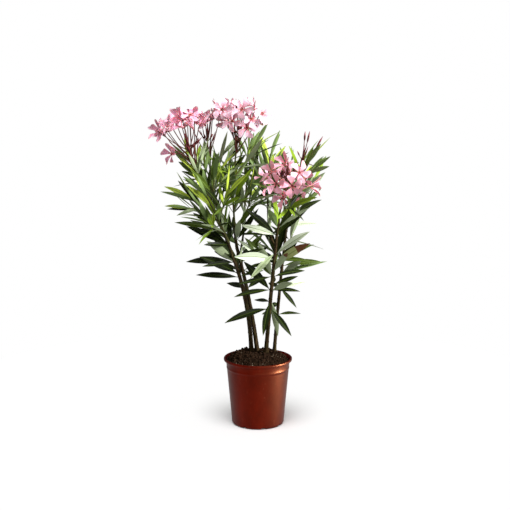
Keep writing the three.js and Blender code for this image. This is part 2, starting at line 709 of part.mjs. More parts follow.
// A leaf's frame from its place on a shoot, rolled a little about its own line.
function leafOn({ point, axis, compass, spread, roll, length, sag, order }) {
  const direction = leaning(axis, compass, spread);
  const level = new THREE.Vector3().crossVectors(axis, direction).normalize();
  const side = level.applyAxisAngle(direction, radians(roll));
  return { root: point, axis, direction, side, length, sag, order };
}

// The same leaf turned about its shoot.
function turned(leaf, degrees) {
  const turn = radians(degrees);
  return {
    ...leaf,
    direction: leaf.direction.clone().applyAxisAngle(leaf.axis, turn),
    side: leaf.side.clone().applyAxisAngle(leaf.axis, turn),
  };
}

// Where a stalk leaves a flowering tip and where it ends, given by compass, height and reach.
function stalkEnds(stem, [compass, height, reach], j) {
  const lift = radians(height);
  const direction = outward(UP, compass).multiplyScalar(Math.cos(lift));
  direction.addScaledVector(UP, Math.sin(lift));
  const end = stem.getPoint(1).addScaledVector(direction, reach);
  const from = stem.getPoint(1 - flowerShape.stalkStep * (j % 3));
  const bow = UP.clone().multiplyScalar(-flowerShape.stalkLift * reach);
  return { from, end, direction, bow };
}

// Stalks from a flowering tip, each ending in an open flower or a slender bud.
function growHead({ flowers, buds }, stem, seed) {
  const { throat, levelling, facingUp, facingSwing, stalkRadius } = flowerShape;
  const { budSwell, budFrom, budTip, budSides, budSteps } = flowerShape;
  const blooms = flowers.map((place, j) => {
    const { from, end, direction, bow } = stalkEnds(stem, place, j);
    const aside = outward(UP, 360 * chance(seed, j, 24));
    const facing = direction.setZ(levelling * direction.z + facingUp)
      .addScaledVector(aside, facingSwing).normalize();
    const neck = end.clone().addScaledVector(facing, -throat);
    return makeFlower(bowed(from, neck, bow), end, facing, 72 * chance(seed, j, 21));
  });
  const swelling = (t) => Math.max(0, Math.sin(Math.PI * (t - budFrom) / (1 - budFrom)));
  const slender = buds.map((place, j) => {
    const { from, end, bow } = stalkEnds(stem, place, j);
    const radiusAt = (t) => (t > 0.99 ? budTip : stalkRadius + budSwell * swelling(t));
    return tube(bowed(from, end, bow), radiusAt, budSides, budSteps);
  });
  return [...blooms, ...slender];
}

// A collar round a limb, one small gap clear of it, and its leaves.
function growWhorl({ on, at, ways }, seed) {
  const { curve, radiusAt } = wood[on];
  const point = curve.getPoint(at);
  const axis = axisAt(curve, at);
  const inner = (radiusAt(at) + collar.clearance) / Math.cos(Math.PI / collar.sides);
  const ring = makeRing(point, axis, inner, inner + collar.wall, collar.height, collar.sides);
  const leaves = ways.map(([compass, spread, length, roll]) => leafOn({
    point: point.clone().addScaledVector(outward(axis, compass), inner + collar.rootShare * collar.wall),
    axis,
    compass,
    spread,
    roll,
    length,
    sag: growth.sag * lerp(...growth.whorlSagRange, chance(seed, compass, 4)),
    order: 0,
  }));
  return { ring, leaves };
}

// Assembly

const finish = {
  pot: { color: 0x6a1a10, roughness: 0.32, metalness: 0 },
  soil: { color: 0x281a11, roughness: 0.95, metalness: 0 },
  bark: { color: 0x4a3a22, roughness: 0.8, metalness: 0 },
  foliage: { color: 0x4d6b22, roughness: 0.5, metalness: 0 },
};

const plant = new THREE.Group();

function addPart(name, solid, kind) {
  const mesh = new THREE.Mesh(geometryOf(solid), new THREE.MeshStandardMaterial(finish[kind]));
  mesh.name = name;
  plant.add(mesh);
}

const potSolid = makePot();
const soilSolid = makeSoil();
keep('pot', potSolid);
keep('soil', soilSolid);
addPart('pot', potSolid, 'pot');
addPart('soil', soilSolid, 'soil');

Object.entries(limbs).forEach(growLimb);
for (const name of Object.keys(limbs)) addPart(name, wood[name].solid, 'bark');

// The wood and flowers of every mass come first, and then the leaves in turn, so that no mass
// fills a neighbour's space before the neighbour has grown.
const crowns = masses.map((mass, i) => {
  const seed = 10 * (i + 1);
  const { shoots, solid } = growShoots(mass, seed);
  keep(mass.name, solid);
  return { name: mass.name, mass, seed, solid, leaves: shoots.flatMap(leavesOf), stem: shoots[0].curve };
});
for (const crown of crowns) {
  for (const bloom of growHead(crown.mass, crown.stem, crown.seed)) {
    if (isClear(bloom, (owner) => owner !== crown.name)) {
      crown.solid = crown.solid.add(bloom);
      keep(crown.name, bloom);
    }
  }
}
const countOn = {};
whorls.forEach((whorl, i) => {
  countOn[whorl.on] = (countOn[whorl.on] ?? 0) + 1;
  const name = `leaves_${whorl.on}_${countOn[whorl.on]}`;
  const { ring, leaves } = growWhorl(whorl, masses.length + i);
  keep(name, ring);
  crowns.push({ name, solid: ring, leaves });
});

const waiting = crowns.flatMap((crown) => crown.leaves.map((leaf) => ({ crown, leaf })));
waiting.sort((a, b) => a.leaf.order - b.leaf.order);
for (const { crown, leaf } of waiting) {
  const ways = growth.turns.map((turn) => turned(leaf, turn));
  const free = ways.find((way) => leafMayStand(way, crown.name));
  if (free) {
    const blade = makeLeaf(free);
    crown.solid = crown.solid.add(blade);
    keep(crown.name, blade);
  }
}
for (const { name, solid } of crowns) addPart(name, largestBody(solid), 'foliage');

export default plant;
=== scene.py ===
"""A flowering oleander in a red-brown nursery pot: bark, leaves, blossom, compost and pot, each
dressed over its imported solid. Sizes are in millimetres until a mesh is made."""
import math

import bpy
import numpy as np
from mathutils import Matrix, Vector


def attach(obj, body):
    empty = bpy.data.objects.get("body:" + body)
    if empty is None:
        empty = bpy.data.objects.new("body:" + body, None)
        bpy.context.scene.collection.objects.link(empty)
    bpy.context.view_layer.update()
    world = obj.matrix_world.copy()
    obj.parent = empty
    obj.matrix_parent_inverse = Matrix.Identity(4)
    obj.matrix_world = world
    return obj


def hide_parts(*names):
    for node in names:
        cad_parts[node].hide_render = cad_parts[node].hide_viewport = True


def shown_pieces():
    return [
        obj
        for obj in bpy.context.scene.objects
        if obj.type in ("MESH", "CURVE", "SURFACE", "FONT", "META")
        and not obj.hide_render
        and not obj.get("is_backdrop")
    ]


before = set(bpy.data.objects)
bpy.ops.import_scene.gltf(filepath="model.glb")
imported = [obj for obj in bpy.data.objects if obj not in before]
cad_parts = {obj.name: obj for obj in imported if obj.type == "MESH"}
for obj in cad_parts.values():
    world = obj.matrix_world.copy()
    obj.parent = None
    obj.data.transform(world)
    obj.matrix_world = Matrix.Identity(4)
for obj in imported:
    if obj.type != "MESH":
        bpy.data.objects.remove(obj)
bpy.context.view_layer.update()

MM = 0.001
UP = np.array((0.0, 0.0, 1.0))
EAST = np.array((1.0, 0.0, 0.0))

# Sizes of the pot and the soil, as in the part's source

POT_RIM = 100.0
POT_HEIGHT = 197.0
POT_BASE = 76.5
POT_FOOT = 70.0
FOOT_HEIGHT = 6.0
POT_WALL = 1.8
POT_FLOOR = 3.0
SHOULDER = (91.0, 166.0)
COLLAR = (92.5, 186.0)
NOTCHES = 8
NOTCH_TURN = 0.28
SOIL_EDGE = 191.0
SOIL_HEAP = 205.0
HEAP_MIDDLE = (14.0, 38.0)
PLATEAU = 0.62
FOOT_GAP = 0.3
FOOT_LEVEL = SOIL_HEAP + FOOT_GAP

# Stems and boughs, as in the part's source: a foot or a place on a parent limb, the far end, the
# bow of the middle, the radii at both ends and the root flare

LIMBS = {
    "stem_left": dict(foot=(-19.5, 42), to=(-78, -10, 516), bow=(12, 2, 4), radii=(6.6, 5.0), flare=1.2),
    "stem_centre": dict(foot=(-2, 50), to=(-61, 25, 517), bow=(5, -2, 2), radii=(6.6, 5.0), flare=1.4),
    "stem_right_front": dict(foot=(24, 28), to=(52, -26, 545), bow=(-1, -5, 0), radii=(6.4, 4.6),
                             flare=3.4),
    "stem_right_back": dict(foot=(49, 45), to=(82, 55, 559), bow=(-2, -3, 0), radii=(5, 3.9), flare=1.6),
    "bough_left": dict(on="stem_left", at=1, to=(-103, -28, 578), bow=(1, 1, 1), radii=(4.4, 3.6)),
    "bough_inner": dict(on="stem_left", at=0.96, to=(-103, 24, 588), bow=(-4, -4, 0), radii=(3.4, 2.8)),
    "bough_front": dict(on="stem_left", at=0.8, to=(-82, -64, 548), bow=(0, -6, -8), radii=(3.2, 2.6)),
    "bough_centre": dict(on="stem_centre", at=1, to=(-67, 20, 584), bow=(-1, 1, 0), radii=(4.4, 3.8)),
    "bough_rear": dict(on="stem_centre", at=0.9, to=(-40, 82, 574), bow=(0, 8, -6), radii=(3.4, 2.8)),
    "bough_right": dict(on="stem_right_front", at=1, to=(59, -36, 596), bow=(-1, 1, 0), radii=(4.3, 3.6)),
    "bough_mid": dict(on="stem_right_front", at=0.95, to=(30, 24, 594), bow=(-4, 2, -4), radii=(3.2, 2.7)),
    "bough_far_right": dict(on="stem_right_back", at=1, to=(95, 58, 612), bow=(-1, 0, 0),
                            radii=(3.7, 3.2)),
    "bough_outer": dict(on="stem_right_back", at=0.86, to=(106, 94, 566), bow=(4, 6, -6), radii=(3, 2.5)),
}

# Masses, as in the part's source. Flowers and buds are given from the stem's tip by compass
# angle, height angle and reach

MASSES = [
    dict(name="foliage_left", on="bough_left", tip=(-192, -66, 806), bow=(-2, 2, 0), leaf_to=0.76,
         sides=3, turn=190, reach=100, blush=1, half_open=4,
         flowers=[(205, 49, 91), (175, 36, 91), (189, 33, 94), (206, -9, 51), (240, 62, 78),
                  (44, 71, 96), (122, 41, 115), (136, 29, 108), (192, 71, 89), (98, 43, 121),
                  (65, 85, 98), (111, 65, 97)],
         buds=[(182, 34, 111), (211, 14, 60)]),
    dict(name="foliage_inner", on="bough_inner", tip=(-146, 66, 822), bow=(-8, 8, 0), leaf_to=0.72,
         sides=3, turn=120, reach=92, blush=0, half_open=3,
         flowers=[(306, 77, 79), (251, 62, 72), (18, 74, 97), (69, 55, 87), (104, 60, 70)],
         buds=[(271, 49, 54)]),
    dict(name="foliage_front", on="bough_front", tip=(-146, -120, 694), bow=(2, -6, 0), leaf_to=1,
         sides=2, turn=215, reach=84, blush=0, half_open=0, flowers=[], buds=[]),
    dict(name="foliage_centre", on="bough_centre", tip=(-54, 5, 846), bow=(-9, -2, 0), leaf_to=0.72,
         sides=4, turn=330, reach=104, blush=0, half_open=4,
         flowers=[(229, 46, 100), (212, 63, 78), (259, 25, 98), (275, 34, 133), (295, 29, 95),
                  (316, 34, 109), (289, 17, 74), (1, 59, 83), (100, 49, 81), (55, 29, 74),
                  (129, 31, 70)],
         buds=[(160, 85, 101), (11, 63, 108)]),
    dict(name="foliage_rear", on="bough_rear", tip=(-18, 134, 778), bow=(-6, 8, 0), leaf_to=1,
         sides=3, turn=60, reach=84, blush=0, half_open=0, flowers=[], buds=[(180, 87, 41)]),
    dict(name="foliage_mid", on="bough_mid", tip=(36, 64, 786), bow=(-4, 4, 0), leaf_to=1,
         sides=2, turn=330, reach=78, blush=0, half_open=0, flowers=[], buds=[]),
    dict(name="foliage_right", on="bough_right", tip=(82, -66, 728), bow=(-4, 2, 0), leaf_to=0.74,
         sides=3, turn=300, reach=100, blush=2, half_open=0,
         flowers=[(221, 18, 65), (247, 65, 46), (318, 25, 46), (348, -18, 68), (256, -42, 69),
                  (195, -20, 66), (242, -7, 71), (280, -13, 65), (11, -50, 47), (78, 14, 55),
                  (111, -4, 62), (43, -8, 66), (154, -1, 60)],
         buds=[(78, 83, 51)]),
    dict(name="foliage_far_right", on="bough_far_right", tip=(129, 66, 768), bow=(-3, 2, 0), leaf_to=1,
         sides=3, turn=10, reach=100, blush=0, half_open=0, flowers=[],
         buds=[(29, 84, 85), (344, 76, 88), (0, 50, 92), (353, -21, 52)]),
    dict(name="foliage_outer", on="bough_outer", tip=(128, 130, 700), bow=(4, 2, 0), leaf_to=1,
         sides=2, turn=90, reach=76, blush=0, half_open=0, flowers=[], buds=[]),
]

# Whorls of leaves on the bare lower limbs: limb, place along it, and for each leaf its compass
# angle, its angle from the limb, its length and its roll about its own line. Some have the number
# of their finish too: 0 and 1 for dark and plain green, 3 and 4 for undersides, 7 for a whitish
# green painted on as the sheen of glare, and 8 for tawny leaves

WHORLS = [
    ("stem_left", 0.73, [(182, 66, 125, -49, 0), (36, 96, 81, 35, 0), (95, 84, 112, 40)]),
    ("stem_left", 0.77, [(188, 40, 132, -78, 0), (70, 70, 116, -40)]),
    ("stem_left", 0.88, [(181, 64, 140, -35, 0), (208, 23, 120, 67, 1), (40, 78, 112, 38),
        (118, 74, 112, -34)]),
    ("bough_left", 0.3, [(175, 43, 131, -29, 0), (143, 44, 120, -14), (60, 60, 112, 40),
        (227, 60, 88, -52, 0)]),
    ("bough_left", 0.75, [(168, 26, 118, -20, 0), (154, 47, 113, -14), (95, 48, 112, -36),
        (320, 40, 112, 44)]),
    ("bough_inner", 0.45, [(150, 50, 118, 36), (30, 55, 112, -40), (265, 42, 112, 42)]),
    ("bough_front", 0.4, [(191, 73, 90, -26, 0), (14, 66, 101, 27), (110, 70, 108, 30)]),
    ("stem_centre", 0.6, [(60, 86, 112, 38), (120, 84, 112, -32)]),
    ("stem_centre", 0.78, [(337, 122, 77, 44, 0), (90, 78, 112, -40), (193, 53, 96, -50, 0),
        (22, 84, 85, 37)]),
    ("stem_centre", 0.86, [(11, 47, 115, 42), (204, 28, 127, 55, 0), (285, 50, 118, 40),
        (26, 80, 98, 43)]),
    ("bough_centre", 0.35, [(355, 41, 117, 52), (187, 29, 118, -53), (95, 56, 112, 36),
        (285, 44, 116, -40)]),
    ("bough_centre", 0.8, [(20, 40, 118, 38), (230, 40, 116, -36), (140, 46, 112, 36)]),
    ("bough_rear", 0.4, [(80, 70, 116, -36), (200, 66, 110, 42), (320, 60, 114, 40)]),
    ("bough_rear", 0.75, [(30, 52, 116, 38), (150, 52, 112, -38), (270, 46, 112, 42)]),
    ("stem_right_front", 0.4, [(184, 102, 130, -37, 0), (336, 129, 93, 60, 0), (75, 95, 100, 36)]),
    ("stem_right_front", 0.46, [(246, 152, 89, -20, 0), (29, 160, 107, -54, 0), (120, 104, 92, -36)]),
    ("stem_right_front", 0.57, [(186, 96, 106, -31, 0), (174, 44, 127, -74, 0),
        (312, 50, 96, -76, 0), (341, 71, 86, 38, 0)]),
    ("stem_right_front", 0.62, [(85, 90, 100, 34), (356, 61, 79, 44)]),
    ("stem_right_front", 0.69, [(199, 101, 100, -33, 0), (17, 69, 96, 33, 0), (110, 80, 110, -38),
        (192, 20, 124, 58, 0)]),
    ("stem_right_front", 0.74, [(162, 42, 138, -33, 1), (23, 31, 124, 35), (299, 37, 112, -33, 1)]),
    ("stem_right_front", 0.79, [(351, 40, 136, 71, 8), (170, 60, 131, -50, 7), (70, 70, 112, 40)]),
    ("stem_right_front", 0.84, [(191, 75, 135, -77, 7), (47, 15, 125, 23), (343, 78, 103, 38, 1)]),
    ("stem_right_front", 0.89, [(217, 125, 97, -52, 3), (357, 44, 126, 55, 7), (100, 66, 112, -40),
        (150, 56, 112, 36)]),
    ("bough_right", 0.35, [(184, 75, 107, -55, 7), (15, 40, 137, 39, 0), (165, 55, 121, -38),
        (357, 15, 116, 60, 1)]),
    ("bough_right", 0.8, [(230, 40, 112, 44), (350, 40, 116, -44), (110, 44, 110, 36)]),
    ("bough_mid", 0.5, [(40, 60, 116, 38), (160, 60, 116, -36), (280, 48, 114, 42)]),
    ("stem_right_back", 0.31, [(9, 82, 77, 34, 0), (120, 100, 96, 32)]),
    ("stem_right_back", 0.53, [(329, 126, 69, 52, 0), (10, 77, 110, 27, 7), (110, 90, 104, -34)]),
    ("stem_right_back", 0.66, [(359, 66, 138, 25, 4), (310, 55, 99, -40, 3), (90, 82, 108, 36)]),
    ("stem_right_back", 0.72, [(357, 69, 113, 50, 1), (170, 70, 112, -36), (100, 66, 114, 34),
        (169, 59, 106, -47, 0)]),
    ("stem_right_back", 0.78, [(7, 53, 101, 47, 1), (150, 64, 110, 38), (176, 37, 118, -51, 0)]),
    ("bough_far_right", 0.3, [(5, 69, 115, 29, 7), (225, 52, 116, -40), (105, 54, 112, 36),
        (285, 46, 116, 44)]),
    ("bough_far_right", 0.75, [(20, 36, 120, 40), (250, 40, 114, -42), (140, 44, 112, 34)]),
    ("bough_outer", 0.5, [(30, 66, 116, 36), (150, 62, 112, -38), (270, 58, 112, 40)]),
]

# The space of the crown by height: its furthest reach to the left, right, front and back

CROWN = np.array([
    (220, -110, 110, -110, 120),
    (330, -100, 140, -130, 150),
    (420, -190, 165, -170, 190),
    (480, -222, 208, -200, 215),
    (580, -205, 180, -215, 235),
    (670, -278, 190, -225, 245),
    (780, -272, 204, -215, 240),
    (850, -260, 214, -180, 200),
    (900, -200, 190, -120, 140),
], float)

# The rule of growth, as in the part's source but for closer whorls and the leaves' own breadth.
# Lengths are in millimetres and angles in degrees; the rest are shares

INTERNODE = 37.0
WHORL_OFFSET = 0.6
STAGGER = 2.6
LEAF_LENGTH = 124.0
LENGTH_SWING = 0.12
TIP_SHARE = 0.74
LEAF_WIDTH = 0.166
CROWN_BREADTH = 0.84
LOW_BREADTH = (1.1, 1.25)
STRONG_ROLL = 50
HANGING_SPREAD = 120
LOW_SPREAD = 42.0
TIP_SPREAD = 12.0
SPREAD_SWING = 11.0
COMPASS_SWING = 16.0
ROLL_SWING = 42.0
SAG = 0.11
CROWN_SAG = (0.5, 1.0)
WHORL_SAG = (0.3, 1.1)
ROOT_DEPTH = 0.8
TURNS = (0, 18, -18, 36, -36)
SEED_TURN = 137
GOLDEN_TURN = 137.5
FLARE_FADE = 11.0

# Shoots of a mass: where they leave, and the stretch of each that bears leaves, its radii at both
# ends and its leaves' size

SHOOT_ZONE = (0.08, 0.6)
SHOOT_SPREAD = (28, 40)
SHOOT_SWING = 0.15
SHOOT_LIFT = 0.07
TWIG_PLACE = 0.5
TWIG_REACH = 0.42
TWIG_SWING = 110
STEM_WOOD = dict(start=0.05, radii=(3.0, 1.9), size=1.0)
SIDE_WOOD = dict(start=0.2, end=1, radii=(2.3, 1.5), size=1.0)
TWIG_WOOD = dict(start=0.3, end=1, radii=(1.4, 0.9), size=0.72)

# The room that a leaf needs: the part of it that is tested, its share of half width, and how far
# it stays below, above and beside an open flower

CLEAR_FROM = 0.16
CLEAR_PLACES = 12
CLEAR_SHARE = 0.2
FLOWER_ROOM = (-9, 16, 27)
GUARD_STEP = 8
GUARD_PLACES = 6

# Flower heads

FLOWER_RADIUS = 31.0
FLOWER_CUP = 0.26
FLOWER_THROAT = 11.0
FACING_RISE = 0.3
FACING_LIFT = 0.08
FACING_SWING = 0.35
STALK_STEP = 0.1
STALK_BOW = 0.06
PETAL_TURN = 72
OPEN_SHUT = 0.35
HALF_OPEN = dict(height=(45, 80), reach=(58, 88), size=(0.5, 0.72), shut=(0.5, 1))
HALF_OPEN_SHIFT = 40
LONG_BUD_FROM = 0.7
SMALL_BUD = dict(height=(25, 85), reach=(24, 62), size=(0.5, 0.85), share=(0.45, 0.6))
SMALL_BUDS = 14
SMALL_BUDS_ALONE = 6

# Small helpers, and the numbers that their draws and lines are made with

DRAW_STEPS = (127.1, 311.7, 74.7)
DRAW_SCALE = 43758.5453
LATTICE_STEP = 19.19
LINE_STEPS = 200
NEAR_EAST = 0.9


def chance(owner, item, draw):
    """A repeatable number from 0 to 1: the fraction left of a large multiple of a sine. The three
    numbers tell draws apart: whose it is, which of its items, and what is drawn for it."""
    wave = math.sin(owner * DRAW_STEPS[0] + item * DRAW_STEPS[1] + draw * DRAW_STEPS[2]) * DRAW_SCALE
    return wave - math.floor(wave)


def sway(owner, item, draw):
    """The same number, stretched to run from -1 to 1."""
    return 2 * chance(owner, item, draw) - 1


def mix(low, high, share):
    """The value at a share of the way from low to high."""
    return low + (high - low) * share


def unit(v):
    """A vector, or an array of them, divided by its length."""
    return v / np.maximum(np.linalg.norm(v, axis=-1, keepdims=True), 1e-12)


def column(things, key):
    """One value of every leaf or flower, as an array."""
    return np.array([thing[key] for thing in things], float)


class Line:
    """A curve between two points whose middle stands off the straight line by bow. The start, a
    control point and the end are weighed by (1 - t) squared, 2t(1 - t) and t squared, and the
    control point is the midpoint plus twice the bow."""

    def __init__(self, start, end, bow):
        self.start = np.asarray(start, float)
        self.end = np.asarray(end, float)
        self.control = (self.start + self.end) / 2 + 2 * np.asarray(bow, float)
        steps = self.at(np.linspace(0, 1, LINE_STEPS + 1))
        self.length = float(np.linalg.norm(np.diff(steps, axis=0), axis=1).sum())

    def at(self, t):
        """Points at shares of the way along."""
        t = np.asarray(t, float)[..., None]
        return (1 - t) ** 2 * self.start + 2 * t * (1 - t) * self.control + t ** 2 * self.end

    def axis(self, t):
        """Directions of the line at shares of the way along."""
        t = np.asarray(t, float)[..., None]
        return unit((self.control - self.start) * (1 - t) + (self.end - self.control) * t)


def compass_frame(axis):
    """Two directions square to an axis: +X made square to it, and the axis crossed with that. An
    axis that lies near +X takes +Z in its place."""
    axis = np.asarray(axis, float)
    level = np.where(np.abs(axis[..., :1]) < NEAR_EAST, EAST, UP)
    east = unit(level - axis * (level * axis).sum(-1, keepdims=True))
    return east, np.cross(axis, east)


def around(axis, angle):
    """Directions square to axes at angles in radians: east times the cosine plus north times the
    sine."""
    east, north = compass_frame(axis)
    angle = np.asarray(angle, float)[..., None]
    return east * np.cos(angle) + north * np.sin(angle)


def outward(axis, degrees):
    """Directions square to axes at compass angles: 0 is towards +X, 90 towards +Y."""
    return around(axis, np.radians(degrees))


def leaning(axis, degrees, spread):
    """The direction at a spread angle from an axis, towards a compass angle."""
    lean = math.radians(spread)
    return outward(axis, degrees) * math.sin(lean) + axis * math.cos(lean)


def turned_about(v, axis, angle):
    """Vectors turned about axes by angles in radians: the vector times the cosine, the axis crossed
    with it times the sine, and its part along the axis times one less the cosine."""
    angle = np.asarray(angle, float)[..., None]
    along = axis * (v * axis).sum(-1, keepdims=True) * (1 - np.cos(angle))
    return v * np.cos(angle) + np.cross(axis, v) * np.sin(angle) + along


def ring_angles(sides):
    """Angles evenly round a circle, in radians."""
    return np.arange(sides) * 2 * math.pi / sides


def smooth(t):
    """Smoothstep: 3t squared less 2t cubed, held between 0 and 1."""
    t = np.clip(t, 0, 1)
    return t * t * (3 - 2 * t)


def lattice(cell, seed):
    """A repeatable number from -1 to 1 for each whole-numbered cell of a cubic lattice."""
    wave = np.sin(cell @ np.array(DRAW_STEPS) + seed * LATTICE_STEP) * DRAW_SCALE
    return 2 * (wave - np.floor(wave)) - 1


def roughen(points, size, seed):
    """Smooth noise from -1 to 1: random values at the corners of a cubic lattice of that size,
    blended by smoothstep along each direction."""
    scaled = np.asarray(points, float) / size
    cell = np.floor(scaled)
    part = smooth(scaled - cell)
    total = 0
    for corner in np.ndindex(2, 2, 2):
        weight = np.where(np.array(corner) == 1, part, 1 - part).prod(-1)
        total = total + weight * lattice(cell + corner, seed)
    return total


# Meshes


class Skin:
    """Closed skins gathered for one mesh, with the number of a finish for each face."""

    def __init__(self):
        self.points = []
        self.quads = []
        self.fans = []
        self.quad_kinds = []
        self.fan_kinds = []
        self.count = 0

    def add(self, rows, first, last, kind=0):
        """Joins rings of points row to row and closes both ends with a fan to a pole. rows is
        (N, R, C, 3), each ring counter-clockwise seen from the last pole; first and last are
        (N, 3). kind is one number of a finish, or an array that spreads to (N, R - 1, C)."""
        rows = np.asarray(rows, float)
        if rows.ndim == 3:
            rows = rows[None]
            first = np.asarray(first, float)[None]
            last = np.asarray(last, float)[None]
        n, r, c, _ = rows.shape
        kind = np.broadcast_to(np.asarray(kind), (n, r - 1, c))
        at = self.count + np.arange(n * r * c).reshape(n, r, c)
        pole = self.count + n * r * c + np.arange(2 * n).reshape(n, 2)
        near = np.roll(at, -1, axis=2)
        quads = np.stack((at[:, :-1], near[:, :-1], near[:, 1:], at[:, 1:]), -1)
        start = np.broadcast_to(pole[:, :1], (n, c))
        end = np.broadcast_to(pole[:, 1:], (n, c))
        self.points += [rows.reshape(-1, 3), np.stack((first, last), 1).reshape(-1, 3)]
        self.quads.append(quads.reshape(-1, 4))
        self.quad_kinds.append(kind.reshape(-1))
        self.fans.append(np.stack((start, near[:, 0], at[:, 0]), -1).reshape(-1, 3))
        self.fans.append(np.stack((end, at[:, -1], near[:, -1]), -1).reshape(-1, 3))
        self.fan_kinds += [kind[:, 0].reshape(-1), kind[:, -1].reshape(-1)]
        self.count += n * r * c + 2 * n

    def piece(self, name, finishes, slot, replaced=(), crease=50):
        """Makes the mesh object, rides it on the plant's one body and hides the parts that it replaces.
        Edges sharper than crease, in degrees, stay hard."""
        points = np.concatenate(self.points) * MM
        faces = np.concatenate(self.quads).tolist() + np.concatenate(self.fans).tolist()
        mesh = bpy.data.meshes.new(name)
        mesh.from_pydata(points.tolist(), [], faces)
        for material in finishes:
            mesh.materials.append(material)
        kinds = np.concatenate(self.quad_kinds + self.fan_kinds).astype(np.int32)
        mesh.polygons.foreach_set("material_index", kinds)
        shade(mesh, crease)
        mesh.update()
        thing = bpy.data.objects.new(name, mesh)
        bpy.context.scene.collection.objects.link(thing)
        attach(thing, "root")
        if replaced:
            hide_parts(*replaced)
        return thing


def shade(mesh, crease):
    """Shades a mesh smooth, except over edges sharper than crease."""
    mesh.polygons.foreach_set("use_smooth", np.ones(len(mesh.polygons), bool))
    mesh.set_sharp_from_angle(angle=math.radians(crease))


def tube_rows(line, radius, sides, places):
    """Rings of a round limb: points at the given places along a line, at radius(t, angle) from
    it. The rings start at compass 0 and run counter-clockwise."""
    places = np.asarray(places, float)
    angle = ring_angles(sides)
    reach = radius(places[:, None], angle[None, :])
    return line.at(places)[:, None] + around(line.axis(places)[:, None], angle) * reach[..., None]


# Growth of limbs, shoots and leaves. What has grown is kept here: each limb's line and radius, and
# the points and radii of all wood

limb_lines = {}
obstacles = []


def taper(radii, flare=0.0, length=1.0):
    """The radius along a limb: a straight taper plus a root flare that dies away with height."""
    def radius_at(t):
        root = flare * np.exp(-np.maximum(t, 0) * length / FLARE_FADE)
        return mix(radii[0], radii[1], t) + root

    return radius_at


def guard(line, radius_at):
    """Keeps a limb's points and radii for testing what leaves would touch."""
    places = np.linspace(0, 1, max(GUARD_PLACES, int(line.length / GUARD_STEP)))
    obstacles.append((line.at(places), radius_at(places)))


def grow_limb(name, limb):
    """The line and the radius of a limb, from its foot in the soil or its place on a parent."""
    if "foot" in limb:
        start = (*limb["foot"], FOOT_LEVEL)
    else:
        start = limb_lines[limb["on"]][0].at(limb["at"])
    line = Line(start, limb["to"], limb["bow"])
    radius_at = taper(limb["radii"], limb.get("flare", 0.0), line.length)
    limb_lines[name] = (line, radius_at)
    guard(line, radius_at)


def side_line(stem, place, compass, reach, seed, j):
    """The line of a side shoot, which leaves its stem at a spread angle and curves upward."""
    start = stem.at(place)
    spread = mix(*SHOOT_SPREAD, chance(seed, j, 1))
    length = reach * (1 + SHOOT_SWING * sway(seed, j, 2))
    end = start + leaning(stem.axis(place), compass, spread) * length
    return Line(start, end, -SHOOT_LIFT * reach * UP)


def grow_shoots(mass, seed):
    """A mass's stem, its side shoots and one finer twig on each of those."""
    stem = Line(limb_lines[mass["on"]][0].at(1), mass["tip"], mass["bow"])
    grown = [dict(STEM_WOOD, line=stem, end=mass["leaf_to"], seed=seed)]
    for j in range(mass["sides"]):
        place = mix(*SHOOT_ZONE, (j + 0.5) / mass["sides"])
        compass = mass["turn"] + GOLDEN_TURN * j
        side = side_line(stem, place, compass, mass["reach"], seed, j)
        grown.append(dict(SIDE_WOOD, line=side, seed=seed + j + 1))
        aside = compass + TWIG_SWING * sway(seed, j, 31)
        twig = side_line(side, TWIG_PLACE, aside, TWIG_REACH * mass["reach"], seed, j + 7)
        grown.append(dict(TWIG_WOOD, line=twig, seed=seed + j + 5))
    return grown


def leaf_on(point, axis, compass, spread, roll, length, sag, **more):
    """A leaf's frame from its place on a shoot, rolled a little about its own line."""
    direction = leaning(axis, compass, spread)
    level = unit(np.cross(axis, direction))
    side = turned_about(level, direction, math.radians(roll))
    return dict(root=point, axis=axis, direction=direction, side=side, length=length, sag=sag, **more)


def sag_of(least, more, share):
    """How far a leaf droops for its length: the least of it, and as much more as chance gives."""
    return SAG * (least + more * share)


def leaves_of(shoot, spray):
    """The leaves of a shoot, whorl by whorl: each is turned by a third of a circle from the next,
    and alternate whorls by a sixth; they stand closer to the shoot towards its tip."""
    line = shoot["line"]
    seed = shoot["seed"]
    count = max(2, round(line.length * (shoot["end"] - shoot["start"]) / INTERNODE))
    grown = []
    for k in range(count):
        share = (k + WHORL_OFFSET) / count
        place = mix(shoot["start"], shoot["end"], share)
        axis = line.axis(place)
        spread = mix(LOW_SPREAD, TIP_SPREAD, share)
        size = mix(1, TIP_SHARE, share * share) * shoot["size"]
        for m in range(3):
            grown.append(leaf_on(
                line.at(place) + axis * STAGGER * (m - 1),
                axis,
                60 * k + 120 * m + SEED_TURN * seed + COMPASS_SWING * sway(seed, k, m),
                spread + SPREAD_SWING * sway(seed, k, m + 5),
                ROLL_SWING * sway(seed, k, m + 17),
                LEAF_LENGTH * size * (1 + LENGTH_SWING * sway(seed, k, m + 9)),
                sag_of(*CROWN_SAG, chance(seed, k, m + 13)),
                order=k, share=share, spray=spray, tone=None,
                breadth=CROWN_BREADTH,
            ))
    return grown


def whorl_leaves(place, spray):
    """The leaves of a whorl on a bare limb, rooted in its bark. Those that hang or are rolled far
    over are the broader ones."""
    limb_name, at, ways = place
    line, radius_at = limb_lines[limb_name]
    axis = line.axis(at)
    grown = []
    for compass, spread, length, roll, *tone in ways:
        grown.append(leaf_on(
            line.at(at) + outward(axis, compass) * radius_at(at) * ROOT_DEPTH,
            axis,
            compass,
            spread,
            roll,
            length,
            sag_of(*WHORL_SAG, chance(spray, compass, 4)),
            order=0, share=0.0, spray=spray, tone=tone[0] if tone else None,
            breadth=LOW_BREADTH[abs(roll) > STRONG_ROLL or spread > HANGING_SPREAD],
        ))
    return grown


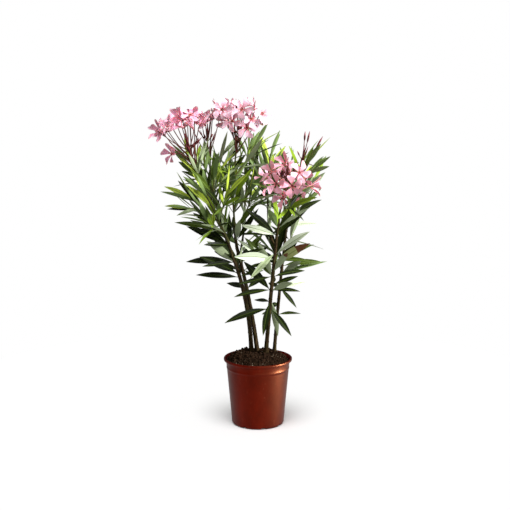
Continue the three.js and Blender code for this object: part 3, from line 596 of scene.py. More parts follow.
def in_crown(point):
    """Whether a point lies in the crown's space."""
    if not CROWN[0, 0] < point[2] < CROWN[-1, 0]:
        return False
    left, right, front, back = (np.interp(point[2], CROWN[:, 0], CROWN[:, i]) for i in range(1, 5))
    return left < point[0] < right and front < point[1] < back


def leaf_line(leaf, s):
    """Points along a leaf's middle: straight on, less a droop that grows with the square."""
    s = np.asarray(s, float)[:, None]
    droop = leaf["sag"] * leaf["length"] * s * s
    return leaf["root"] + leaf["direction"] * leaf["length"] * s - UP * droop


def leaf_is_clear(leaf, wood, wood_radius, discs):
    """Whether a leaf stays in the crown's space and off the wood and the open flowers."""
    if not in_crown(leaf["root"] + leaf["direction"] * leaf["length"]):
        return False
    line = leaf_line(leaf, np.linspace(CLEAR_FROM, 1, CLEAR_PLACES))
    room = wood_radius + CLEAR_SHARE * LEAF_WIDTH * leaf["length"]
    gaps = np.linalg.norm(line[:, None] - wood[None], axis=2) - room
    if gaps.min() < 0:
        return False
    below, above, beside = FLOWER_ROOM
    for centre, facing in discs:
        off = line - centre
        rise = off @ facing
        reach = np.linalg.norm(off - rise[:, None] * facing, axis=1)
        if ((rise > below) & (rise < above) & (reach < beside)).any():
            return False
    return True


def standing_leaves(grown, open_flowers):
    """The leaves that find room, taken from the foot of each shoot outwards. One that would touch
    wood or an open flower, or leave the crown, is turned about its shoot or else left out."""
    wood = np.concatenate([points for points, _ in obstacles])
    wood_radius = np.concatenate([np.broadcast_to(radii, len(points)) for points, radii in obstacles])
    discs = [(flower["centre"], flower["facing"]) for flower in open_flowers]
    found = []
    for leaf in sorted(grown, key=lambda leaf: leaf["order"]):
        for turn in TURNS:
            angle = math.radians(turn)
            way = dict(leaf, direction=turned_about(leaf["direction"], leaf["axis"], angle),
                       side=turned_about(leaf["side"], leaf["axis"], angle))
            if leaf_is_clear(way, wood, wood_radius, discs):
                found.append(way)
                break
    return found


# Growth of flowers and buds


def stalk(stem, place, seed, j):
    """A flower's or bud's stalk: its start near the stem's tip, the given end, its bow, and the
    way the flower looks, which is outwards, a little upwards and a little aside."""
    compass, height, reach = place
    lift = math.radians(height)
    direction = outward(UP, compass) * math.cos(lift) + UP * math.sin(lift)
    start = stem.at(1 - STALK_STEP * (j % 3))
    end = stem.at(1) + direction * reach
    aside = FACING_SWING * outward(UP, 360 * chance(seed, j, 24))
    facing = unit(direction * (1, 1, FACING_RISE) + FACING_LIFT * UP + aside)
    return start, end, facing, -STALK_BOW * reach * UP


def drawn_place(ways, seed, j, draw):
    """A place about a tip drawn at random: compass angle, height angle and reach."""
    return (360 * chance(seed, j, draw), mix(*ways["height"], chance(seed, j, draw + 1)),
            mix(*ways["reach"], chance(seed, j, draw + 2)))


def flower_on(stem, place, seed, j, size, **more):
    """A flower whose throat ends the line of its stalk."""
    start, end, facing, bow = stalk(stem, place, seed, j)
    line = Line(start, end - FLOWER_THROAT * size * facing, bow)
    return dict(centre=end, facing=facing, line=line, size=size, **more)


def bud_on(stem, place, seed, j, size, share):
    """A bud that takes the last part of its stalk's line, from that share on."""
    start, end, _, bow = stalk(stem, place, seed, j)
    return dict(line=Line(start, end, bow), size=size, share=share)


def head_flowers(mass, stem, seed):
    """A mass's open flowers at their given places, and half-open ones drawn about its tip."""
    found = []
    for j, place in enumerate(mass["flowers"]):
        age = chance(seed, j, 22)
        turn = PETAL_TURN * chance(seed, j, 21)
        found.append(flower_on(stem, place, seed, j, 1.0, turn=turn, blush=mass["blush"],
                               shut=OPEN_SHUT * age ** 2, age=age))
    for j in range(mass["half_open"]):
        place = drawn_place(HALF_OPEN, seed, j, 71)
        size = mix(*HALF_OPEN["size"], chance(seed, j, 74))
        turn = PETAL_TURN * chance(seed, j, 75)
        shut = mix(*HALF_OPEN["shut"], chance(seed, j, 76))
        found.append(flower_on(stem, place, seed, j + HALF_OPEN_SHIFT, size, turn=turn,
                               blush=mass["blush"], shut=shut, age=chance(seed, j, 77)))
    return found


def head_buds(mass, stem, seed):
    """A mass's long buds at their given places, and small ones drawn about its tip."""
    found = [bud_on(stem, place, seed, j, 1.0, LONG_BUD_FROM) for j, place in enumerate(mass["buds"])]
    if mass["flowers"]:
        count = SMALL_BUDS
    else:
        count = SMALL_BUDS_ALONE if mass["buds"] else 0
    for j in range(count):
        place = drawn_place(SMALL_BUD, seed, j, 61)
        size = mix(*SMALL_BUD["size"], chance(seed, j, 64))
        share = mix(*SMALL_BUD["share"], chance(seed, j, 65))
        found.append(bud_on(stem, place, seed, j, size, share))
    return found


for limb_name, limb in LIMBS.items():
    grow_limb(limb_name, limb)

shoots = []
leaves = []
flowers = []
buds = []
for number, mass in enumerate(MASSES):
    mass_seed = 10 * (number + 1)
    mass_shoots = grow_shoots(mass, mass_seed)
    for shoot in mass_shoots:
        guard(shoot["line"], taper(shoot["radii"]))
        leaves += leaves_of(shoot, number)
    shoots += mass_shoots
    flowers += head_flowers(mass, mass_shoots[0]["line"], mass_seed)
    buds += head_buds(mass, mass_shoots[0]["line"], mass_seed)
for number, place in enumerate(WHORLS):
    leaves += whorl_leaves(place, len(MASSES) + number)
standing = standing_leaves(leaves, [flower for flower in flowers if flower["size"] == 1])

# Finishes, and the numbers of the Mix node's sockets for colours

MIX_SHARE = 0
MIX_ONE = 6
MIX_OTHER = 7
MIX_COLOUR = 2


def finish(name, colour, roughness, **sockets):
    """A plain shader of one base colour, with further sockets set on the shader itself."""
    material = bpy.data.materials.new(name)
    material.use_nodes = True
    shader = material.node_tree.nodes["Principled BSDF"]
    shader.inputs["Base Color"].default_value = (*colour, 1)
    shader.inputs["Roughness"].default_value = roughness
    for socket, value in sockets.items():
        shader.inputs[socket.replace("_", " ")].default_value = value
    return material


class Pattern:
    """Nodes that give a finish its pattern over Object coordinates."""

    def __init__(self, material):
        self.tree = material.node_tree
        self.shader = self.tree.nodes["Principled BSDF"]
        self.coordinates = self.node("ShaderNodeTexCoord").outputs["Object"]
        self.normal = None

    def node(self, kind, **settings):
        """A node with its sockets or properties set."""
        made = self.tree.nodes.new(kind)
        for key, value in settings.items():
            if key in made.inputs:
                made.inputs[key].default_value = value
            else:
                setattr(made, key, value)
        return made

    def stretched(self, height):
        """The coordinates with heights scaled, so that a pattern is drawn out along Z."""
        mapping = self.node("ShaderNodeMapping", Scale=(1, 1, height))
        self.tree.links.new(self.coordinates, mapping.inputs["Vector"])
        return mapping.outputs["Vector"]

    def noise(self, scale, detail=4.0, roughness=0.55, at=None):
        """Cloudy noise from 0 to 1."""
        made = self.node("ShaderNodeTexNoise", Scale=scale, Detail=detail, Roughness=roughness)
        self.tree.links.new(at or self.coordinates, made.inputs["Vector"])
        return made.outputs["Fac"]

    def cells(self, scale, at=None):
        """The distance to the nearest of many scattered points."""
        made = self.node("ShaderNodeTexVoronoi", Scale=scale)
        self.tree.links.new(at or self.coordinates, made.inputs["Vector"])
        return made.outputs["Distance"]

    def ramp(self, value, *stops):
        """Colours or greys at places along a value."""
        made = self.node("ShaderNodeValToRGB")
        elements = made.color_ramp.elements
        while len(elements) < len(stops):
            elements.new(0.5)
        for element, (place, colour) in zip(elements, stops):
            element.position = place
            element.color = (*(colour if isinstance(colour, tuple) else (colour,) * 3), 1)
        self.tree.links.new(value, made.inputs["Fac"])
        return made.outputs["Color"]

    def blend(self, how, share, one, other):
        """Two colours blended by multiply, mix or another way of the Mix node."""
        made = self.node("ShaderNodeMix", data_type="RGBA", blend_type=how)
        for number, value in ((MIX_SHARE, share), (MIX_ONE, one), (MIX_OTHER, other)):
            socket = made.inputs[number]
            if isinstance(value, bpy.types.NodeSocket):
                self.tree.links.new(value, socket)
            elif isinstance(value, tuple):
                socket.default_value = (*value, 1)
            else:
                socket.default_value = value
        return made.outputs[MIX_COLOUR]

    def colour(self, value):
        """Gives the shader its base colour."""
        self.tree.links.new(value, self.shader.inputs["Base Color"])

    def rough(self, value, low, high):
        """Gives the shader a roughness that runs from low to high with a value."""
        made = self.node("ShaderNodeMapRange")
        made.inputs["To Min"].default_value = low
        made.inputs["To Max"].default_value = high
        self.tree.links.new(value, made.inputs["Value"])
        self.tree.links.new(made.outputs["Result"], self.shader.inputs["Roughness"])

    def bump(self, value, depth, strength=1.0):
        """A bump of that depth in millimetres, on top of the bumps given before."""
        made = self.node("ShaderNodeBump", Strength=strength, Distance=depth * MM)
        self.tree.links.new(value, made.inputs["Height"])
        if self.normal:
            self.tree.links.new(self.normal, made.inputs["Normal"])
        self.normal = made.outputs["Normal"]
        self.tree.links.new(self.normal, self.shader.inputs["Normal"])


def leathery(name, colour, roughness, **sockets):
    """The skin of a leaf: a plain colour with a faintly uneven, half-glossy surface."""
    material = finish(name, colour, roughness, **{"Specular_IOR_Level": 0.1, **sockets})
    pattern = Pattern(material)
    pattern.rough(pattern.noise(140, detail=3), low=roughness - 0.08, high=roughness + 0.1)
    pattern.bump(pattern.noise(420, detail=3), depth=0.12, strength=0.5)
    return material


def bark_finish():
    """Young bark: olive brown with darker streaks along the stem and pale pores."""
    material = finish("bark", (0.035, 0.02, 0.009), 0.7, Specular_IOR_Level=0.1)
    pattern = Pattern(material)
    streaks = pattern.noise(260, detail=6, roughness=0.6, at=pattern.stretched(0.16))
    tint = pattern.ramp(streaks, (0.3, (0.01, 0.0054, 0.0022)), (0.52, (0.033, 0.0185, 0.0072)),
                        (0.72, (0.1, 0.068, 0.03)))
    patches = pattern.ramp(pattern.noise(38, detail=3), (0.42, (0.82, 0.76, 0.62)),
                           (0.62, (0.72, 1.0, 0.5)))
    tint = pattern.blend("MULTIPLY", 0.8, tint, patches)
    pores = pattern.ramp(pattern.cells(330, at=pattern.stretched(0.6)), (0.1, 1.0), (0.2, 0.0))
    tint = pattern.blend("MIX", pores, tint, (0.13, 0.09, 0.05))
    pattern.colour(tint)
    pattern.rough(streaks, low=0.82, high=0.5)
    pattern.bump(streaks, depth=0.7, strength=0.8)
    pattern.bump(pores, depth=0.3, strength=0.6)
    return material


def pot_finish():
    """Glossy red-brown plastic with blotches, scuffs and a reddish sheen."""
    material = finish("pot_plastic", (0.069, 0.0045, 0.0012), 0.3, Specular_IOR_Level=0.14,
                      Specular_Tint=(1.0, 0.42, 0.2, 1.0))
    pattern = Pattern(material)
    blotch = pattern.noise(26, detail=5, roughness=0.6, at=pattern.stretched(0.6))
    tint = pattern.ramp(blotch, (0.3, (0.053, 0.0015, 0.0003)), (0.7, (0.092, 0.0036, 0.0007)))
    scuff = pattern.noise(160, detail=8, roughness=0.7, at=pattern.stretched(0.35))
    scuff = pattern.ramp(scuff, (0.6, 0.0), (0.84, 0.7))
    tint = pattern.blend("MIX", scuff, tint, (0.2, 0.06, 0.035))
    pattern.colour(tint)
    pattern.rough(pattern.noise(60, detail=5), low=0.37, high=0.49)
    pattern.bump(pattern.noise(30, detail=2), depth=0.5, strength=0.25)
    return material


def soil_finish(name, dark, pale):
    """Damp crumbly compost: dark brown with paler fibres, and painted shade of hollows strewn by noise."""
    material = finish(name, dark, 0.92, Specular_IOR_Level=0.03)
    pattern = Pattern(material)
    grain = pattern.noise(330, detail=8, roughness=0.7)
    # painted shade: a darker copy of the colour, strewn by noise where hollows would be
    painted_hollow_shade = tuple(0.4 * part for part in dark)
    pattern.colour(pattern.ramp(grain, (0.35, painted_hollow_shade), (0.55, dark), (0.75, pale)))
    pattern.bump(pattern.noise(700, detail=6, roughness=0.7), depth=1.0, strength=0.8)
    return material


# The finishes of each mesh, and their numbers in it

DEEP, GREEN, FRESH, UNDER, UNDER_GREEN, RIB, WITHERED, PAINTED_SHEEN, TAWNY, BRIGHT = range(10)
leaf_finishes = [
    leathery("leaf_deep", (0.0088, 0.0135, 0.0027), 0.34),
    leathery("leaf_green", (0.042, 0.066, 0.007), 0.36),
    leathery("leaf_fresh", (0.165, 0.25, 0.013), 0.4),
    leathery("leaf_under", (0.25, 0.3, 0.17), 0.6),
    leathery("leaf_under_green", (0.13, 0.19, 0.06), 0.58),
    leathery("leaf_rib", (0.1, 0.145, 0.03), 0.45),
    leathery("leaf_withered", (0.1, 0.04, 0.016), 0.7),
    # painted sheen: a whitish green that stands in for the glare on a few glossy leaves
    leathery("leaf_painted_sheen", (0.42, 0.47, 0.34), 0.36, Specular_IOR_Level=0.4),
    leathery("leaf_tawny", (0.26, 0.28, 0.11), 0.5),
    leathery("leaf_bright", (0.36, 0.46, 0.05), 0.4),
]
TWIG_GREEN, TWIG_RED, BUD_SKIN, BUD_TIP = range(4)
twig_finishes = [
    leathery("twig_green", (0.07, 0.07, 0.02), 0.5),
    leathery("twig_red", (0.085, 0.026, 0.02), 0.48),
    leathery("bud_skin", (0.09, 0.02, 0.02), 0.42),
    leathery("bud_tip", (0.2, 0.045, 0.055), 0.45),
]
HEART, ROSE, PINK, SOFT, FAINT, BLUSH, ANTHER = range(7)
petal_tones = [
    ("petal_heart", (0.42, 0.085, 0.085)),
    ("petal_rose", (0.58, 0.23, 0.27)),
    ("petal_pink", (0.66, 0.32, 0.39)),
    ("petal_soft", (0.7, 0.4, 0.48)),
    ("petal_pale", (0.74, 0.5, 0.57)),
    ("petal_blush", (0.72, 0.34, 0.46)),
    ("anther", (0.85, 0.7, 0.5)),
]
petal_finishes = [leathery(name, colour, 0.55, Subsurface_Weight=0.15, Subsurface_Scale=0.002)
                  for name, colour in petal_tones]
bark = bark_finish()
pot_plastic = pot_finish()
soil_dark = soil_finish("soil", (0.011, 0.0055, 0.0026), (0.055, 0.031, 0.016))
soil_crumb = soil_finish("crumbs", (0.022, 0.011, 0.006), (0.075, 0.044, 0.024))
grit = soil_finish("grit", (0.3, 0.24, 0.17), (0.5, 0.44, 0.36))

# Leaves: places along a blade, the shares of its length and half width, and lengths in millimetres

BLADE_SEED = 11
BLADE_PLACES = np.array((0.0, 0.05, 0.11, 0.2, 0.33, 0.47, 0.62, 0.77, 0.9))
BLADE_STALK = 0.045
BLADE_ARCH = (0.94, 0.92)
BLADE_WIDTH = (0.93, 0.09)
LEAST_WIDTH = 1.15
BLADE_BEND = 0.07
BLADE_TWIST = 0.45
BLADE_FOLD = (0.3, 0.14)
BLADE_WAVES = (2.2, 1.9)
WAVE_HEIGHT = 0.05
EDGE_DROP = 0.06
INNER_COLUMN = 0.56
INNER_WAVE = 0.6
RIB_WIDTH = 0.7
WIDEST_RIB = 0.4
THICKNESS = 0.32
TIP_THINS = 3
KEEL = 2.6
LEAF_CREASE = 35


def leaf_blades(chosen):
    """Lance-shaped leaves, all at once. Along each leaf the half width is a sine arch to a power
    a little under one, over a short stalk. Across it the top is a shallow V with a pale strip for
    the midrib, and the underside is a keel. The middle line droops with the square of the
    distance, bends to one side and twists, and the margins wave."""
    root, direction, side = (column(chosen, key) for key in ("root", "direction", "side"))
    length, sag, breadth = (column(chosen, key) for key in ("length", "sag", "breadth"))
    draw = np.random.default_rng(BLADE_SEED).uniform(-1, 1, (len(chosen), 6))
    s = BLADE_PLACES
    u = np.clip((s - BLADE_STALK) / (1 - BLADE_STALK), 0, 1)
    arch = np.sin(math.pi * u ** BLADE_ARCH[0]) ** BLADE_ARCH[1]
    half = 0.5 * LEAF_WIDTH * length * breadth * (BLADE_WIDTH[0] + BLADE_WIDTH[1] * draw[:, 0])
    width = np.maximum(half[:, None] * arch, LEAST_WIDTH)
    bend = BLADE_BEND * draw[:, 1]
    along = direction[:, None] * (length[:, None] * s)[..., None]
    droop = UP * (sag * length)[:, None, None] * (s * s)[None, :, None]
    lean = side[:, None] * ((bend * length)[:, None] * s * s)[..., None]
    middle = root[:, None] + along - droop + lean
    tip = root + direction * length[:, None] - UP * (sag * length)[:, None]
    tip = tip + side * (bend * length)[:, None]
    tangent = direction[:, None] - 2 * sag[:, None, None] * s[None, :, None] * UP
    tangent = unit(tangent + 2 * bend[:, None, None] * s[None, :, None] * side[:, None])
    twist = BLADE_TWIST * draw[:, 2, None] * s
    across = turned_about(np.broadcast_to(side[:, None], tangent.shape), tangent, twist)
    above = unit(np.cross(tangent, across))
    across = np.cross(above, tangent)
    rib = np.minimum(RIB_WIDTH / width, WIDEST_RIB)
    fold = (BLADE_FOLD[0] + BLADE_FOLD[1] * draw[:, 3])[:, None]
    one, other = (np.sin(2 * math.pi * (often * s + draw[:, which, None])) * WAVE_HEIGHT * arch
                  for often, which in zip(BLADE_WAVES, (4, 5)))
    thick = THICKNESS * np.minimum(1, TIP_THINS * (1 - s))
    edge = np.ones_like(rib)
    inner = np.full_like(rib, INNER_COLUMN)
    columns = [
        (edge, fold + one - EDGE_DROP, 0.0),
        (inner, INNER_COLUMN * fold + INNER_WAVE * one, 1.0),
        (rib, rib * fold, 1.0),
        (-rib, rib * fold, 1.0),
        (-inner, INNER_COLUMN * fold + INNER_WAVE * other, 1.0),
        (-edge, fold + other - EDGE_DROP, 0.0),
        (np.zeros_like(rib), np.zeros_like(fold), -KEEL),
    ]
    rows = np.stack([
        middle + across * (reach * width)[..., None] + above * (rise * width + level * thick)[..., None]
        for reach, rise, level in columns
    ], axis=2)
    return rows, root, tip


# Colours of leaves: how far the spray, the leaf, its place on the shoot and its height change its
# mood, and the least mood of each brighter green. Low leaves get darker greens, partly the older
# leaves' own tone and partly painted shade under the crown

SPRAY_MOOD = 0.22
LEAF_MOOD = 0.55
TIP_MOOD = 0.75
AGE_AND_SHADE = 0.6
AGE_SHADE_ZONE = (330, 240)
MOODS = ((0.74, BRIGHT), (0.4, FRESH), (0.04, GREEN))
GREEN_UNDERSIDES = 0.35
BROWN_TIPS = 0.02


def leaf_colours(chosen):
    """Finish numbers of every leaf's faces: one green for the top and one for the underside, dealt
    by spray, by the place along the shoot and by height, darker low down as partly the older leaves'
    own tone and partly painted shade under the crown; a pale midrib, and here and there a brown tip."""
    top = np.zeros(len(chosen), int)
    under = np.full(len(chosen), UNDER)
    browned = np.zeros(len(chosen), bool)
    for i, leaf in enumerate(chosen):
        mood = SPRAY_MOOD * sway(leaf["spray"], 5, 9) + LEAF_MOOD * sway(i, 3, 7) + TIP_MOOD * leaf["share"]
        # partly painted shade: leaves low under the crown are pushed to darker greens
        mood -= AGE_AND_SHADE * (1 - smooth((leaf["root"][2] - AGE_SHADE_ZONE[0]) / AGE_SHADE_ZONE[1]))
        top[i] = next((kind for least, kind in MOODS if mood > least), DEEP)
        if top[i] in (FRESH, BRIGHT) or chance(i, 4, 4) < GREEN_UNDERSIDES:
            under[i] = UNDER_GREEN
        browned[i] = chance(i, 8, 1) < BROWN_TIPS
        if leaf["tone"] is not None:
            top[i] = leaf["tone"]
            if leaf["tone"] > FRESH:
                under[i] = leaf["tone"]
    kinds = np.empty((len(chosen), len(BLADE_PLACES) - 1, 7), int)
    kinds[:, :, (0, 1, 3, 4)] = top[:, None, None]
    kinds[:, :, 2] = np.where(top == DEEP, GREEN, RIB)[:, None]
    kinds[:, :, (5, 6)] = under[:, None, None]
    kinds[browned, -1:] = WITHERED
    kinds[top == TAWNY, 6:] = WITHERED
    return kinds


sprays = {}
for leaf in standing:
    sprays.setdefault(min(leaf["spray"], len(MASSES)), []).append(leaf)
for spray, chosen in sorted(sprays.items()):
    if spray < len(MASSES):
        replaced = [MASSES[spray]["name"]]
        name = "leaves_of_" + replaced[0]
    else:
        replaced = [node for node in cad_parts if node.startswith("leaves_")]
        name = "leaves_of_lower_stems"
    skin = Skin()
    skin.add(*leaf_blades(chosen), leaf_colours(chosen))
    skin.piece(name, leaf_finishes, "leaf", replaced, crease=LEAF_CREASE)

# Stems and boughs: the relief of their bark, in millimetres but for the shares of a limb's length

STEM_SIDES = 28
BOUGH_SIDES = 20
BARK_STEP = 1.7
STEM_SINKS = 6
LIMB_CAP = 1.5
FIRST_SCAR = (0.06, 0.04)
LAST_SCAR = 1.02
SCAR_SPACING = 27
SCAR_SWING = 20
RING_RISE = 0.38
RING_HEIGHT = 1.6
SCAR_RISE = 0.75
SCAR_SIZE = (1.5, 2.0)
GRAIN_AROUND = 9
GRAIN_ALONG = 0.22
FURROW_SIZES = (3.2, 1.5)
FURROW_RISE = 0.2
FINE_FURROWS = 0.6
LUMP_SIZE = 11.0
LUMP_RISE = 0.3


def bark_limb(name):
    """A limb with the relief of young bark: its radius is the taper and the root flare, plus a
    low ring and three leaf scars at each old whorl, plus noise drawn out along the limb."""
    line, radius_at = limb_lines[name]
    is_stem = "foot" in LIMBS[name]
    start = -STEM_SINKS / line.length if is_stem else 0.0
    places = np.linspace(start, 1.0, int(line.length / BARK_STEP))
    key = sum(map(ord, name))
    first_scar = FIRST_SCAR[0] + FIRST_SCAR[1] * chance(key, 1, 1)
    scar_places = np.arange(first_scar, LAST_SCAR, SCAR_SPACING / line.length)
    scar_height, scar_width = SCAR_SIZE

    def radius(t, angle):
        reach = radius_at(t) + 0 * angle
        for number, place in enumerate(scar_places):
            off = (t - place) * line.length
            reach = reach + RING_RISE * np.exp(-(off / RING_HEIGHT) ** 2)
            for third in range(3):
                turn = math.radians(60 * number + 120 * third + SCAR_SWING * sway(key, number, third))
                aside = np.angle(np.exp(1j * (angle - turn))) * radius_at(t)
                fade = ((off + scar_height) / scar_height) ** 2 + (aside / scar_width) ** 2
                reach = reach + SCAR_RISE * np.exp(-fade)
        grain = np.stack(np.broadcast_arrays(
            np.cos(angle) * GRAIN_AROUND, np.sin(angle) * GRAIN_AROUND, t * line.length * GRAIN_ALONG), -1)
        coarse, fine = FURROW_SIZES
        furrows = roughen(grain, coarse, key) + FINE_FURROWS * roughen(grain, fine, key + 1)
        lumps = roughen(grain, LUMP_SIZE, key + 2)
        return reach + FURROW_RISE * furrows + LUMP_RISE * lumps

    skin = Skin()
    rows = tube_rows(line, radius, STEM_SIDES if is_stem else BOUGH_SIDES, places)
    skin.add(rows, line.at(start), line.at(1.0) + line.axis(1.0) * LIMB_CAP)
    skin.piece("bark_" + name, [bark], "bark", [name])


for limb_name in LIMBS:
    bark_limb(limb_name)

# Twigs, stalks and buds: radii in millimetres, numbers of sides and places, and a bud's own shape

THICK_TWIG = 2.5
TWIG_SIDES = (8, 10)
TWIG_PLACES = 14
FLOWER_STALK = dict(radii=(1.7, 1.15), sides=7, steps=9)
BUD_STALK = dict(radii=(1.4, 0.9), sides=6, steps=7)
BUD_OVERLAP = 0.02
KNOT_RISE = 0.1
KNOT_SPACING = 24
KNOT_POWER = 6
BUD_RADIUS = 2.6
LEAST_BUD = 0.55
BUD_SHAPE = (0.75, 0.8)
BUD_SIDES = 15
BUD_PLACES = 10
BUD_RIDGES = 5
RIDGE_RISE = 0.16
RIDGE_TWIST = 3.0
BUD_TIP_FROM = 0.55


def add_twig(skin, line, radii, sides, steps, kind, end=1.0):
    """A slender twig: a straight taper with a slight swelling every few centimetres."""
    places = np.linspace(0, end, steps)

    def radius(t, angle):
        swell = KNOT_RISE * np.cos(t * line.length / KNOT_SPACING * 2 * math.pi) ** KNOT_POWER
        return mix(*radii, t) * (1 + swell) + 0 * angle

    rows = tube_rows(line, radius, sides, places)
    skin.add(rows, line.at(0), line.at(end) + line.axis(end) * radii[1], kind)


def add_bud(skin, line, start, size, twist):
    """A slender bud: a spindle drawn out to a point, with five ridges wound about it."""
    places = np.linspace(start, 1.0, BUD_PLACES + 1)[:-1]

    def radius(t, angle):
        along = (t - start) / (1 - start)
        spindle = np.sin(math.pi * along ** BUD_SHAPE[0]) ** BUD_SHAPE[1] * BUD_RADIUS * size
        ridges = 1 + RIDGE_RISE * np.cos(BUD_RIDGES * angle + twist * along)
        return np.maximum(spindle, LEAST_BUD) * ridges

    kinds = np.where((places - start) / (1 - start) > BUD_TIP_FROM, BUD_TIP, BUD_SKIN)
    rows = tube_rows(line, radius, BUD_SIDES, places)
    skin.add(rows, line.at(start), line.at(1.0), kinds[:-1, None])


twigs = Skin()
for shoot in shoots:
    sides = TWIG_SIDES[shoot["radii"][0] > THICK_TWIG]
    add_twig(twigs, shoot["line"], shoot["radii"], sides, TWIG_PLACES, TWIG_GREEN)
for flower in flowers:
    add_twig(twigs, flower["line"], kind=TWIG_RED, **FLOWER_STALK)
for number, bud in enumerate(buds):
    add_twig(twigs, bud["line"], kind=TWIG_RED, end=bud["share"] + BUD_OVERLAP, **BUD_STALK)
    add_bud(twigs, bud["line"], bud["share"], bud["size"], RIDGE_TWIST + chance(number, 5, 5))
twigs.piece("twigs_and_buds", twig_finishes, "bark")

# Blossom: places along a petal with its half width there, in millimetres, and the numbers of the
# petal's rise, most of them shares

PETALS = 5
PETAL_SEED = 23
PETAL_PLACES = np.array((0.0, 0.12, 0.26, 0.42, 0.58, 0.72, 0.84, 0.93, 0.98))
PETAL_HALF = np.array((1.7, 2.6, 4.4, 6.8, 9.0, 10.5, 10.7, 9.0, 5.8))
PETAL_ACROSS = (1.0, 0.6, 0.2, -0.2, -0.6, -1.0, -0.6, -0.2, 0.2, 0.6)
PETAL_SIDES = (0.0, 1.0, 1.0, 1.0, 1.0, 0.0, -1.0, -1.0, -1.0, -1.0)
ANGLE_SWING = 6
REACH_SWING = 0.05
SHUT_SHORTENS = 0.45
SHUT_NARROWS = 0.3
SHUT_LIFTS = 0.6
SHUT_FOLDS = 0.5
AGE_CUP = (0.75, 1.1)
RECURVE = (0.16, 0.1)
PETAL_ROOT = 3.4
PETAL_SLANT = 2.6
PETAL_SWIRL = 3.4
PETAL_RISE = 1.35
PETAL_TILT = 0.24
PETAL_TROUGH = 0.1
RIPPLE = 0.9
RIPPLE_WAVES = (3.0, 6, 3)
PETAL_THICKNESS = 0.28
PETAL_THINS = 0.5


def petals(chosen):
    """Five petals a flower, all at once: a narrow claw that widens to a blunt, slanted end, one
    side longer than the other. Each rises from the throat, opens into a shallow cup, tilts like a
    screw's blade and ripples towards its end. In place, p runs from 0 at the claw to 1 at the end
    and a from -1 to 1 across."""
    draw = np.random.default_rng(PETAL_SEED).uniform(-1, 1, (len(chosen) * PETALS, 5))
    turn = column(chosen, "turn")[:, None] + PETAL_TURN * (0.5 + np.arange(PETALS))
    centre, facing, age, size, shut = (np.repeat(column(chosen, key), PETALS, axis=0)
                                       for key in ("centre", "facing", "age", "size", "shut"))
    out = outward(facing, turn.reshape(-1) + ANGLE_SWING * draw[:, 0])
    side = np.cross(facing, out)
    reach = FLOWER_RADIUS * size * (1 + REACH_SWING * draw[:, 1]) * (1 - SHUT_SHORTENS * shut)
    cup = FLOWER_CUP * (AGE_CUP[0] + AGE_CUP[1] * age ** 2) + SHUT_LIFTS * shut
    recurve = (RECURVE[0] + RECURVE[1] * draw[:, 2]) * (1 - shut)
    reach, cup, recurve, size, shut = (part[:, None] for part in (reach, cup, recurve, size, shut))
    across_waves, along_waves, phase = RIPPLE_WAVES

    def place(p, a, layer, half):
        half = half * size * (1 - SHUT_NARROWS * shut)
        root = PETAL_ROOT * size
        radial = root + (reach - root) * p + PETAL_SLANT * size * a * p * p
        shift = a * half + PETAL_SWIRL * size * p * p
        rise = FLOWER_RADIUS * size * (PETAL_RISE * cup * p - recurve * p ** 3)
        rise = rise + PETAL_TILT * a * half + (PETAL_TROUGH + SHUT_FOLDS * shut) * a * a * half
        ripple = np.sin(across_waves * a + along_waves * p + phase * draw[:, 3, None])
        rise = rise + RIPPLE * p * ripple + layer * PETAL_THICKNESS * (1 - PETAL_THINS * p)
        return (centre[:, None] + out[:, None] * radial[..., None] + side[:, None] * shift[..., None]
                + facing[:, None] * rise[..., None])

    rows = np.stack([place(PETAL_PLACES[None], a, layer, PETAL_HALF)
                     for a, layer in zip(PETAL_ACROSS, PETAL_SIDES)], axis=2)
    first = place(np.zeros((1, 1)), 0.0, 0.0, 0.0)[:, 0]
    last = place(np.ones((1, 1)), 0.0, 0.0, 0.0)[:, 0]
    return rows, first, last


# Petal tones from claw to end, for pale and blushing flowers, and a warmer, deeper set for the
# head on the right, deepened partly as painted shade to hold down the strong key light on it

PETAL_TONES = ((ROSE, ROSE, PINK, SOFT, SOFT, FAINT, FAINT, FAINT),
               (ROSE, ROSE, BLUSH, BLUSH, BLUSH, PINK, SOFT, SOFT),
               # partly painted shade: a deeper set for the head on the right, which the key light falls on
               # most
               (ROSE, ROSE, PINK, PINK, PINK, PINK, SOFT, SOFT))

# A flower's throat as pairs of radius and height about its axis, and the rings of small spikes:
# the fringe, the anthers and the sepals

FUNNEL = ((1.2, -11.5), (1.6, -8), (2.4, -4.5), (4.3, -0.6), (4.6, 0.4), (3.9, 0.5), (2.2, -3.4),
          (1.2, -6.5))
FUNNEL_SIDES = 10
FUNNEL_TONES = (ROSE, ROSE, ROSE, ROSE, HEART, HEART, HEART)
FUNNEL_FOOT = 12
FUNNEL_DEPTH = 7
FRINGE = dict(count=15, foot=(4.2, 0.0), tip=(4.9, 5.0), width=0.75, seed=31)
ANTHERS = dict(count=5, foot=(0.8, -4.0), tip=(0.3, 4.5), width=0.8, seed=37)
SEPALS = dict(count=5, foot=(1.2, -12.5), tip=(3.0, -6.0), width=1.1, seed=41)
SPIKE_SWING = 0.3
SPIKE_CORNERS = (0, -2.1, 2.1)
SPIKE_FLATNESS = 0.5


def funnels(chosen):
    """Rings of the throat's outline turned about each flower's own axis."""
    centre, facing = column(chosen, "centre"), column(chosen, "facing")
    size = column(chosen, "size")[:, None]
    out = around(facing[:, None], ring_angles(FUNNEL_SIDES))[:, None] * size[..., None, None]
    along = facing[:, None, None] * size[..., None, None]
    radius, height = np.array(FUNNEL).T[:, None, :, None, None]
    rows = centre[:, None, None] + out * radius + along * height
    return rows, centre - FUNNEL_FOOT * size * facing, centre - FUNNEL_DEPTH * size * facing


